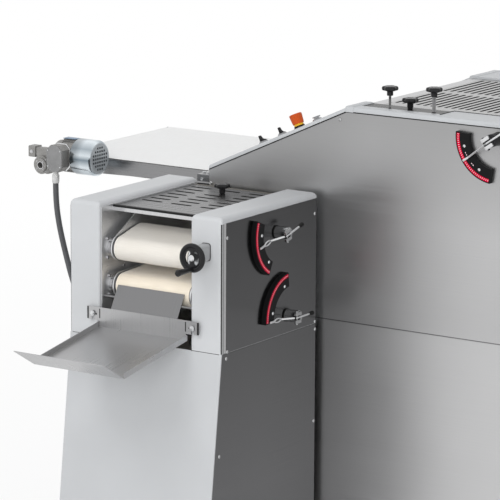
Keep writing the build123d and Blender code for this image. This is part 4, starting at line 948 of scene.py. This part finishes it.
def beltPiece(name, settings, cloth):
    lengthways = name == "conveyor"  # this belt runs along X, the others along Y
    thick, across, width, soft = cloth["thick"], cloth["across"], settings["width"], settings["soft"]
    line = loopLine(*settings["ends"], settings["inside"])
    bm = bmesh.new()
    maps = bm.loops.layers.uv.new("clothRun")
    runs, total = [], 0.0
    for k, (point, ray) in enumerate(line):
        runs.append(total)
        total += (line[(k + 1) % len(line)][0] - point).length
    # cross section: outer face from edge to edge, then the inner face back
    thin, gain, fast = cloth["edge"]
    section = []
    for k in range(across + 1):
        u = k / across
        section.append((u, thick * (thin + gain * min(1.0, min(u, 1 - u) * fast) ** 0.5)))
    section += [(1 - k / across, 0.0 if 0 < k < across else cloth["underside"] * thick) for k in range(across + 1)]
    waves, slant = cloth["waves"]
    ripples, rippleShare = cloth["ripples"]
    rows = []
    for run, (point, ray) in zip(runs, line):
        row = []
        for u, lift in section:
            wave = soft * (0.5 + 0.5 * sin(waves * 2 * pi * run / total + slant * u)) * sin(pi * u)
            ripple = rippleShare * soft * sin(pi * u) * (0.5 + 0.5 * sin(ripples * pi * u + 4 * pi * run / total))
            spot = point + ray * (lift + (wave + ripple if lift > 0.6 * thick else 0.0))
            side = settings["middle"] + (u - 0.5) * width
            row.append(bm.verts.new((spot.x, side, spot.y) if lengthways else (side, spot.x, spot.y)))
        rows.append(row)
    count = len(section)
    for k, (row, after) in enumerate(zip(rows, (*rows[1:], rows[0]))):
        run, runStop = runs[k], (*runs, total)[k + 1]
        for s in range(count):
            n = (s + 1) % count
            corners = (row[s], row[n], after[n], after[s])
            face = bm.faces.new(corners if lengthways else corners[::-1])
            places = ((section[s][0], run), (section[n][0], run), (section[n][0], runStop), (section[s][0], runStop))
            for loop in face.loops:
                u, v = places[corners.index(loop.vert)]
                loop[maps].uv = ((u - 0.5) * width * mm, v * mm)
    bmesh.ops.recalc_face_normals(bm, faces=bm.faces)
    piece = finishPiece(bm, name + "Cloth", settings["body"], settings["look"], (name + "_belt",),
                        60.0)


for beltName, beltRow in beltSettings.items():
    beltPiece(beltName, beltRow, clothSettings)
print("belts made")

# handwheel cap
wheelCapSettings = {
    "place": (27, -535.5, 1072),
    "profile": ((9.2, -0.3), (9.2, 1.0), (8.5, 1.9), (7.0, 2.4), (3.68, 2.9), (0, 3.0)),
}
spunPiece("wheelCap", "handwheel", "brightSteel", [facing(wheelCapSettings["place"], toFront)],
          wheelCapSettings["profile"], 40)

# black edging strip folded over the guard's front edge
edgingSettings = {
    "ends": (-321.5, -28.5),
    "outline": ((-409.2, 1155.2), (-408.4, 1154.2), (-406.6, 1154.2), (-406.6, 1157.55), (-397.5, 1157.55),
                (-397.5, 1158.7), (-398.7, 1160.0), (-407.8, 1160.0), (-409.2, 1158.6)),  # in Y and Z
}


def guardEdging(settings):
    bm = bmesh.new()
    left, right = settings["ends"]
    slab(bm, axesAt((left, 0, 0), alongY, alongX), settings["outline"], 0, right - left, 0.25)
    finishPiece(bm, "guardEdging", "head_guard", "blackMatt")


guardEdging(edgingSettings)

# painted shade in the slots of both guards: a dark ring round each slot
slotSettings = {
    # bare: where the sheet is whole under the star knob, rim: how much wider than the slot the painted shade ring is on
    # top
    "head": {"body": "head_guard", "rows": [(x, -292.0 + 40.0 * k) for k in range(7) for x in (-273.0, -175.0, -77.0)],
             "bare": (-175.0, -92.0), "size": (66.0, 10.0), "heights": (1155.4, 1157.65), "turn": 0.0, "rim": 1.8},
    "top": {"body": "main_guard", "rows": [(219.5 + 22.5 * k, y) for k in range(32) for y in (305.5, 569.5)],
            "bare": None, "size": (231.0, 9.0), "heights": (1412.9, 1415.15), "turn": 90.0, "rim": 0.2},
}
slotLap, slotWall = 0.2, 1.0  # how much wider than the slot a ring's foot is, and how much narrower its inside


def stadium(long, wide, steps=5):
    half, radius = (long - wide) / 2, wide / 2
    turns = [(side, -pi / 2 + pi * step / steps + (0 if side > 0 else pi))
             for side in (1, -1) for step in range(steps + 1)]
    return [(side * half + radius * cos(turn), radius * sin(turn)) for side, turn in turns]


def slotShadeRing(name, guard):
    long, wide = guard["size"]
    low, high = guard["heights"]
    steps = ((-slotLap, low), (-guard["rim"], high), (slotWall, high), (slotWall, low))
    sections = [(stadium(long - inset, wide - inset), height) for inset, height in steps]
    bm = bmesh.new()
    for x, y in guard["rows"]:
        if (x, y) != guard["bare"]:
            ringed(bm, Matrix.Translation((x, y, 0)) @ Matrix.Rotation(radians(guard["turn"]), 4, "Z"), sections)
    finishPiece(bm, name + "SlotShade", guard["body"], "rubberBlack")


for guardName, guardRow in slotSettings.items():
    slotShadeRing(guardName, guardRow)

# tray stud heads
studSettings = {
    "places": ((-341, -482, 865.5), (-9, -482, 865.5)),
    "profile": ((3.9, -0.5), (7.2, -0.5), (7.4, 0.0), (7.4, 0.9), (6.4, 1.6), (5.2, 1.6), (5.2, 3.4), (4.4, 4.4),
                (2.4, 4.9), (0, 5.0)),
}
spunPiece("studHeads", "machine", "brightSteel", [facing(place, toFront) for place in studSettings["places"]],
          studSettings["profile"], 32)

# dark strip under the caps' lower edge, painted shadow along the guard beside the caps, cover of the cap's knee, dark
# ring behind the handwheel's housing
capSettings = {
    "edge": ((-297.3, 1197.95), (160.2, 1406.0), (958.0, 1406.0)),  # lower edge of the front cap in X and Z
    "capEdgeStrip": (1.8, 1.1),  # under and over the edge
    "capEdgeStripDepth": (21.7, 24.3),
    # painted shadow where the guard meets the caps
    "guardShadowStrip": ((444.6, 46.0), (447.4, 46.0), (447.4, 121.2), (958.0, 121.2), (958.0, 124.0),
                  (444.6, 124.0)),  # beside the knob plate, then along the guard
    "guardShadowHeights": (1420.9, 1422.2),
    "kneeStart": 154.5,
    "kneeFaces": ((20.8, 124.4), (858.8, 713.6)),  # outer and inner side of each cap
    "kneeHeights": (1405.7, 1421.9),
    "kneeRound": 8.0,
    # run from the start and how far the knee draws in there
    "kneeRuns": ((0.0, 5.0), (0.7, 3.2), (2.0, 1.6), (4.0, 0.5), (6.5, 0.0), (28.9, 0.0), (29.5, 0.6)),
    "kneeSteps": 6,
    "housing": (27.0, 1078.0),
    "darkRing": ((30.0, 49.0, 8.0), (26.0, 45.0, 6.0)),  # outside and inside: wide, tall, corner
    "darkRingThick": 1.5,
}


def capDarkStrips(settings):
    (lowX, lowZ), (kneeX, kneeZ), (farX, farZ) = settings["edge"]
    under, over = settings["capEdgeStrip"]
    front, back = settings["capEdgeStripDepth"]
    outline = ((lowX, lowZ - under), (kneeX + 0.2 * under, kneeZ - under), (farX, farZ - under), (farX, farZ + over),
               (kneeX - 0.2 * over, kneeZ + over), (lowX, lowZ + over))
    bm = bmesh.new()
    slab(bm, axesAt((0, back, 0), alongX, toFront), outline, 0, back - front, 0.3)
    x, z = settings["housing"]
    outer, inner = (roundedBox(*size) for size in settings["darkRing"])
    thick = settings["darkRingThick"]
    ringed(bm, axesAt((x, headFront, z), alongX, toFront), ((outer, 0.0), (outer, thick), (inner, thick), (inner, 0.0)))
    slab(bm, Matrix(), settings["guardShadowStrip"], *settings["guardShadowHeights"], 0.3)
    finishPiece(bm, "capDarkStrips", "machine", "rubberBlack")


def capKnee(settings):
    foot, top = settings["kneeHeights"]
    reach, steps = settings["kneeRound"], settings["kneeSteps"]
    bm = bmesh.new()
    for outer, inner in settings["kneeFaces"]:
        way = 1 if inner > outer else -1
        sections = []
        for run, inset in settings["kneeRuns"]:
            low, high = foot + 0.4 * inset, top - inset
            outline = [(outer + way * inset, low), (inner - way * 0.2 * inset, low), (inner - way * 0.2 * inset, high)]
            for step in range(steps + 1):
                turn = pi / 2 + pi / 2 * step / steps
                outline.append((outer + way * (inset + reach + reach * cos(turn)), high - reach + reach * sin(turn)))
            sections.append((outline[::way], run))
        lofted(bm, axesAt((settings["kneeStart"], 0, 0), alongY, alongX), sections)
    bmesh.ops.recalc_face_normals(bm, faces=bm.faces)
    finishPiece(bm, "capKnee", "machine", "capPaint", (), 50.0)


capDarkStrips(capSettings)
capKnee(capSettings)

# dark marks on the tray's ears: painted shade of the slit beside the tray wall and of a hole, and a dark bar at each
# ear's outer end
earSettings = {
    "middle": -175.0,
    "face": -478.0,
    # reach from the middle, height, wide, tall, corner, setback, back and front level, bevel
    "bars": ((143.3, 866.5, 3.1, 27.0, 1.2, 0.0, (-0.1, 0.25), 0.05),
             (183.2, 865.5, 4.4, 34.0, 1.0, 1.0, (-1.6, 1.6), 0.35)),
    "hole": (155.6, 864.0),
    "holeProfile": ((2.7, -0.1), (2.6, 0.3), (2.2, 0.35), (1.9, 0.1), (0, 0.1)),
}


def earDarkMarks(settings):
    bm = bmesh.new()
    middle, face = settings["middle"], settings["face"]
    for side in (-1, 1):
        for reach, height, wide, tall, corner, setback, levels, bevel in settings["bars"]:
            place = axesAt((middle + side * reach, face + setback, height), alongX, toFront)
            slab(bm, place, roundedBox(wide, tall, corner), *levels, bevel)
        reach, height = settings["hole"]
        spun(bm, facing((middle + side * reach, face, height), toFront), settings["holeProfile"])
    finishPiece(bm, "earDarkMarks", "tray", "rubberBlack")


earDarkMarks(earSettings)

# control row on the slope, heights over the slope
controlSettings = {
    "origin": (-297.5, 60, 1210),
    "slope": 24.4486,
    "bezels": (179.0, 248.0, 375.0),
    "stop": 311.0,
    "bezel": ((14.5, 0.05), (14.7, 1.6), (13.9, 3.6), (12.7, 5.3), (11.7, 6.0), (10.4, 6.0), (9.6, 5.2), (8.2, 5.2),
              (8.2, 0.05)),
    # a dark ring at the foot of each bezel is painted shade, giving the chrome a dark edge
    "darkRing": ((12.5, 0.02), (15.3, 0.02), (15.5, 0.5), (15.1, 1.1), (12.5, 1.1)),
    "handles": {"selectorHandleLeft": (179.0, 0.0, "selector_left"),
                "selectorHandleRight": (248.0, 90.0, "selector_right")},
    "handleBase": ((0, 2.0), (7.6, 2.0), (7.6, 6.3), (10.6, 6.3), (10.9, 6.7), (10.6, 7.5), (8.6, 8.2), (0, 8.2)),
    # side of a handle: run along it and height
    "handle": ((-9.6, 7.2), (10.8, 7.2), (10.6, 9.0), (3.2, 10.4), (-0.8, 13.4), (-2.4, 22.4), (-3.6, 23.9),
               (-8.8, 24.1), (-10.0, 22.8)),
    "handleWide": 6.6,
    "stopBase": ((16.2, 0.05), (16.6, 0.6), (16.6, 2.2), (15.6, 2.6), (15.6, 6.2), (15.0, 7.0), (8.4, 7.0),
                 (8.4, 0.05)),
    "stopCollar": ((8.4, 6.8), (14.0, 6.8), (14.0, 15.3), (13.3, 16.0), (8.4, 16.0), (8.4, 6.8)),
    # radius, share of the grip's flutes, height
    "stopRows": ((0, 0, 2.0), (7.4, 0, 2.0), (7.4, 0, 21.2), (14.6, 0, 21.2), (14.6, 0, 12.6), (15.8, 0, 12.5),
                 (16.2, 0.2, 13.2), (16.4, 1, 15.0), (17.3, 1, 24.0), (18.2, 1, 34.0), (18.5, 0.7, 37.0),
                 (18.5, 0, 38.6), (18.0, 0, 40.2), (16.8, 0, 41.2), (15.0, 0, 41.5), (11.0, 0, 41.3), (6.0, 0, 40.9),
                 (0, 0, 40.8)),
    "flutes": 24,
    "fluteDepth": 0.55,
    "fluteSteps": 192,
}


def controlRow(settings):
    tilt = radians(settings["slope"])
    plane = axesAt(settings["origin"], (cos(tilt), 0, sin(tilt)), (-sin(tilt), 0, cos(tilt)))
    bezels = [moved(plane, reach, 0, 0) for reach in settings["bezels"]]
    stop = moved(plane, settings["stop"], 0, 0)
    spunPiece("switchBezels", "machine", "bezelChrome", bezels, settings["bezel"], 48, ("switch_collars",))
    spunPiece("bezelShadeRings", "machine", "rubberBlack", bezels, settings["darkRing"], 48)
    for name, (reach, turn, body) in settings["handles"].items():
        place = moved(plane, reach, 0, 0) @ Matrix.Rotation(radians(turn), 4, "Z")
        side = axesAt(place.translation, wayOf(place, alongX), wayOf(place, toFront))
        half = settings["handleWide"] / 2
        bm = bmesh.new()
        spun(bm, place, settings["handleBase"], 40)
        slab(bm, side, settings["handle"], -half, half, 0.9)
        finishPiece(bm, name, body, "blackGloss", (body,))
    spunPiece("stopBase", "machine", "blackMatt", [stop], settings["stopBase"], 48)
    spunPiece("stopCollar", "machine", "collarYellow", [stop], settings["stopCollar"], 48)
    bm = bmesh.new()
    lobed(bm, stop, settings["stopRows"], settings["flutes"], settings["fluteDepth"], 0.0, settings["fluteSteps"])
    finishPiece(bm, "stopButton", "estop_button", "stopRed", ("estop_button",))


controlRow(controlSettings)

# star knobs on their threaded stems
knobSettings = {
    "knobs": {
        # place, plate top, free stem, body, stem's finish and its radius over the plate
        "topKnobLeft": ((265.0, 82.0), 1419.0, 34.0, "top_knob_left", "stemSteel", 4.0),
        "topKnobMiddle": ((318.9, 101.0), 1419.0, 3.5, "top_knob_middle", "stemSteel", 4.0),
        "topKnobRight": ((402.8, 87.0), 1419.0, 42.0, "top_knob_right", "threadSteel", 5.4),
        "guardKnob": ((-175.0, -91.0), 1157.5, 2.0, "guard_knob", "stemSteel", 4.0),
    },
    "lobes": 6,
    "lobeTurn": 33.6,
    "notch": 3.4,
    "stem": 4.0,
    "tail": 14.0,
    "thread": (1.5, 0.55, 0.7),  # pitch, depth, run of a flank
    "hub": 14.0,
    "collar": 3.5,  # longest stem that a collar under the hub covers
    "collarFoot": ((3.4, 0, -13.9), (7.6, 0, -13.9)),
    # radius, share of the notch, height over the head's foot
    "rows": ((7.6, 0, -13.9), (8.7, 0, -13.2), (8.7, 0, -4.0), (9.4, 0, -1.6), (12.0, 0.1, -0.4), (17.5, 0.55, 0.2),
             (21.2, 0.95, 1.2), (22.7, 1, 3.2), (23.0, 1, 6.6), (22.6, 1, 9.4), (21.2, 1, 11.4), (18.0, 0.9, 12.5),
             (13.5, 0.5, 12.9), (9.0, 0.1, 12.8), (7.6, 0, 12.4), (0, 0, 12.4)),
}


def starKnob(name, settings):
    (x, y), plateTop, free, body, stemLook, shown = settings["knobs"][name]
    hubLow = plateTop + free
    drop = free - 0.5 if free <= settings["collar"] else 0.0
    foot = [(radius, share, height - drop) for radius, share, height in settings["collarFoot"]]
    bm = bmesh.new()
    lobed(bm, Matrix.Translation((x, y, hubLow + settings["hub"])), (*foot, *settings["rows"]), settings["lobes"],
          settings["notch"], radians(settings["lobeTurn"]))
    finishPiece(bm, name, body, "blackGloss", (body,), 50.0)
    stem, low = settings["stem"], plateTop - settings["tail"]
    pitch, depth, flank = settings["thread"]
    profile = [(0, low), (stem - 0.8, low), (stem, low + 1)]
    for k in range(int((hubLow - low - 2) / pitch)):
        height = low + 1.2 + pitch * k
        wide = shown if height > plateTop + 0.4 else stem
        profile += [(wide, height), (wide - depth, height + flank)]
    profile += [(shown, hubLow - 0.5), (shown, hubLow + 1)]
    spunPiece(name + "Stem", body, stemLook, [Matrix.Translation((x, y, 0))], profile, 20)


for knobName in knobSettings["knobs"]:
    starKnob(knobName, knobSettings)
print("controls and knobs made")

# gearmotor: fins, blank plate, box lid, bolts, glands
motorSettings = {
    "axis": (61.0, 1180.7),
    "body": (-833.0, -785.0),
    "radius": 46.0,
    "fins": 40,
    "fin": (1.9, 4.6, 0.6, 0.5),  # thick, high, sunk, bevel
    "bare": 62.0,  # degrees either side of the box with no fins
    "band": ((45.0, -2), (47.4, -2), (47.4, 2), (45.0, 2)),
    "plate": ((-809.0, 57.0, 1232.2), (45, 26, 1.2)),  # middle and size
    "box": (-817.0, 1180.7, 56.0, 78.0, 14.0),
    "boxFront": -19.0,
    # growth of the box's outline and corner, back and front level from the face, bevel
    "lid": ((-1.2, -1.2, 0.0, -0.2, 1.8, 0.7), (1.4, 1.4, 0.6, -5.2, -4.0, 0.3)),
    "foot": (6, 4, 1, -38.0, -35.0, 0.8),
    "lidScrew": (6.0, 15.5, 1.6),  # inset from the sides, from the ends, level
    "lidHead": (2.3, 1.8),
    "drive": (-905.0, 1145.7),
    "gearFront": 29.0,
    # reach, level, radius and height of the screws round the drive
    "bossScrews": ((15.6, 0, 2.6, 2.4), (24, -4, 1.9, 1.8)),
    "bossRing": ((11.4, -0.2), (11.4, 0.9), (11.0, 1.2), (9.6, 1.2), (9.1, 0.7), (9.1, -0.2)),
    "flange": (-853.0, 36.0),
    "flangeBolt": ((5.4, -0.2, 6), (5.4, 2.8, 6), (4.6, 3.4, 6), (3.0, 3.6), (0, 3.6)),
    "plug": (-948.0, 44.5, 1180.7),
    "plugProfile": ((5.6, -0.2), (5.6, 1.2), (4.2, 1.4, 6), (4.2, 4.2, 6), (3.4, 4.8, 6), (0, 4.8)),
    "glands": (((-825, -2, 1141.7), downward), ((-297.5, 74, 468.6), toLeft)),
    "gland": ((8.0, -1.0), (10.6, -1.0), (10.6, 0.0, 6), (10.6, 3.0, 6), (8.6, 3.4), (8.6, 11.0), (10.2, 11.4, 6),
              (11.0, 12.0, 6), (11.0, 18.5, 6), (10.4, 19.4), (10.8, 20.0), (10.8, 30.0), (10.2, 33.5), (9.3, 36.0),
              (8.0, 36.0), (7.6, 30.0)),
}


def octagon(wide, tall, corner):
    x, y = wide / 2, tall / 2
    return ((x, corner - y), (x, y - corner), (x - corner, y), (corner - x, y), (-x, y - corner), (-x, corner - y),
            (corner - x, -y), (x - corner, -y))


def motorFins(settings):
    y, z = settings["axis"]
    start, stop = settings["body"]
    radius, (thick, height, sunk, bevel) = settings["radius"], settings["fin"]
    bm = bmesh.new()
    for k in range(settings["fins"]):
        turn = 2 * pi * (k + 0.5) / settings["fins"]
        ray = Vector((0, cos(turn), sin(turn)))
        if degrees(ray.angle(Vector(toFront))) >= settings["bare"]:
            middle = Vector(((start + stop) / 2, y, z)) + ray * (radius + (height - sunk) / 2)
            bar(bm, axesAt(middle, alongX, ray), (stop - start, thick, height + sunk), bevel)
    for end in (start + 2, stop - 2):
        spun(bm, axesAt((end, y, z), alongY, alongX), settings["band"], 56)
    finishPiece(bm, "motorFins", "machine", "motorGrey")
    bm = bmesh.new()
    plateMiddle, plateSize = settings["plate"]
    bar(bm, axesAt(plateMiddle, alongX, upward), plateSize, 0.4)
    finishPiece(bm, "blankPlate", "machine", "plateBlue")


def motorBox(settings):
    x, z, wide, tall, corner = settings["box"]
    face = axesAt((x, settings["boxFront"], z), alongX, toFront)

    def plate(bm, growWide, growTall, growCorner, low, high, bevel):
        slab(bm, face, octagon(wide + growWide, tall + growTall, corner + growCorner), low, high, bevel)

    bm = bmesh.new()
    for row in settings["lid"]:
        plate(bm, *row)
    finishPiece(bm, "boxLid", "machine", "boxGrey")
    bm = bmesh.new()
    plate(bm, *settings["foot"])
    insetWide, insetTall, level = settings["lidScrew"]
    for side in (-1, 1):
        for up in (-1, 1):
            spot = moved(face, side * (wide / 2 - insetWide), up * (tall / 2 - insetTall), level)
            socketScrew(bm, spot, *settings["lidHead"])
    finishPiece(bm, "boxFoot", "machine", "brightSteel")


def gearBolts(settings):
    y, z = settings["axis"]
    driveX, driveZ = settings["drive"]
    flangeX, flangeReach = settings["flange"]
    boss = axesAt((driveX, settings["gearFront"], driveZ), alongX, toFront)
    turns = [pi / 4 + pi / 2 * k for k in range(4)]
    bm = bmesh.new()
    for turn in turns:
        for reach, level, radius, height in settings["bossScrews"]:
            socketScrew(bm, moved(boss, *polar(reach, turn, level)), radius, height)
    spun(bm, boss, settings["bossRing"], 40)
    for turn in turns:
        spot = (flangeX, y + flangeReach * cos(turn), z + flangeReach * sin(turn))
        spun(bm, facing(spot, toLeft), settings["flangeBolt"])
    spun(bm, facing(settings["plug"], toFront), settings["plugProfile"])
    finishPiece(bm, "gearBolts", "machine", "groundSteel")


motorFins(motorSettings)
motorBox(motorSettings)
gearBolts(motorSettings)
spunPiece("conduitGlands", "machine", "paleNylon", [facing(*row) for row in motorSettings["glands"]],
          motorSettings["gland"], 36, ("conduit_glands",))

# conveyor arm screws and the nuts of the levelling feet
armSettings = {
    # place, outward, radius and height of the head
    "screws": (((-338, 58, 1177), upward, 5.0, 5.0), ((-323, 58, 1177), upward, 5.0, 5.0),
               ((-331, 36, 1163.5), toFront, 4.6, 2.2)),
}
footSettings = {
    "places": ((-365.5, -490.286), (-365.5, -58), (15.5, -490.286), (15.5, -58), (-235.5, 86), (-235.5, 797), (898, 86),
               (898, 797)),
    "nut": ((8.1, 44.0), (11.6, 44.0), (13.0, 45.0, 6), (13.0, 53.0, 6), (11.6, 54.0), (8.1, 54.0)),
    "washer": ((8.1, 54.0), (15.0, 54.0), (15.0, 56.5), (8.1, 56.5)),
}


def smallFixings(arm, feet):
    bm = bmesh.new()
    for place, outward, radius, height in arm["screws"]:
        socketScrew(bm, facing(place, outward), radius, height)
    finishPiece(bm, "armScrews", "machine", "brightSteel")
    bm = bmesh.new()
    for x, y in feet["places"]:
        place = Matrix.Translation((x, y, 0))
        spun(bm, place, feet["nut"])
        spun(bm, place, feet["washer"], 32)
    finishPiece(bm, "footNuts", "machine", "groundSteel")


smallFixings(armSettings, footSettings)
print("motor and fixings made")

# studio
studioSettings = {
    "floorColour": (0.80, 0.80, 0.80),
    "floorRough": 0.7,
    "floorReach": 30.0,  # metres
    "floorGlow": 0.86,
    "glowReach": (1.2, 6.0),  # metres over which the floor fades into the backdrop
    "skyColour": (0.97, 0.98, 1.0),
    "skyStrength": 0.70,
    "lamps": {
        # place, aim, width, watts
        "keyLamp": ((-0.4, -4.6, 4.6), (-0.1, -0.2, 1.0), 2.4, 80.0),
        "frontLamp": ((2.6, -6.0, 2.3), (-0.1, 0.0, 1.0), 3.0, 135.0),
        "backLamp": ((-1.5, 6.0, 3.4), (0.0, 0.2, 0.9), 3.0, 70.0),
    },
}


def seenRay(tree):
    # white where the camera or a reflection looks past the object
    path = addNode(tree, "ShaderNodeLightPath").outputs
    return maths(tree, "MAXIMUM", maths(tree, "MAXIMUM", path["Is Camera Ray"], path["Is Glossy Ray"]),
                 path["Is Transmission Ray"])


def blend(tree, share, first, second, output):
    mix = addNode(tree, "ShaderNodeMixShader", {"Fac": share, 1: first, 2: second})
    fill(tree, tree.nodes[output], {"Surface": mix.outputs["Shader"]})


def setSky(settings):
    world = bpy.data.worlds.new("studioWorld")
    world.use_nodes = True
    tree = world.node_tree
    light = tree.nodes["Background"]
    fill(tree, light, {"Color": (*settings["skyColour"], 1), "Strength": settings["skyStrength"]})
    white = addNode(tree, "ShaderNodeBackground", {"Color": (1, 1, 1, 1), "Strength": 1.0})
    blend(tree, seenRay(tree), light.outputs["Background"], white.outputs["Background"], "World Output")
    bpy.context.scene.world = world


def setFloor(settings):
    mesh = bpy.data.meshes.new("studioFloor")
    reach = settings["floorReach"]
    mesh.from_pydata([(x * reach, y * reach, 0) for x, y in ((-1, -1), (1, -1), (1, 1), (-1, 1))], [], [(0, 1, 2, 3)])
    floor = addObject("studioFloor", mesh)
    finish, tree, shader = startFinish("paleFloor", settings["floorColour"], settings["floorRough"])
    glow = addNode(tree, "ShaderNodeEmission", {"Color": (1, 1, 1, 1), "Strength": 1.0})
    place = addNode(tree, "ShaderNodeTexCoord").outputs["Object"]
    span = addNode(tree, "ShaderNodeVectorMath", {0: place}, operation="LENGTH").outputs["Value"]
    fade = ranged(tree, span, *settings["glowReach"], settings["floorGlow"], 1.0)
    blend(tree, maths(tree, "MULTIPLY", seenRay(tree), fade), shader.outputs["BSDF"], glow.outputs["Emission"],
          "Material Output")
    mesh.materials.append(finish)


def setLamps(settings):
    for name, (place, aim, size, power) in settings["lamps"].items():
        data = bpy.data.lights.new(name, "AREA")
        data.shape = "DISK"
        data.size = size
        data.energy = power
        lamp = addObject(name, data)
        lamp.location = place
        lamp.rotation_mode = "QUATERNION"
        lamp.rotation_quaternion = (Vector(aim) - Vector(place)).to_track_quat("-Z", "Y")
        lamp.visible_glossy = False


bpy.context.scene.view_settings.view_transform = "Standard"
setSky(studioSettings)
setFloor(studioSettings)
setLamps(studioSettings)
print("studio set")
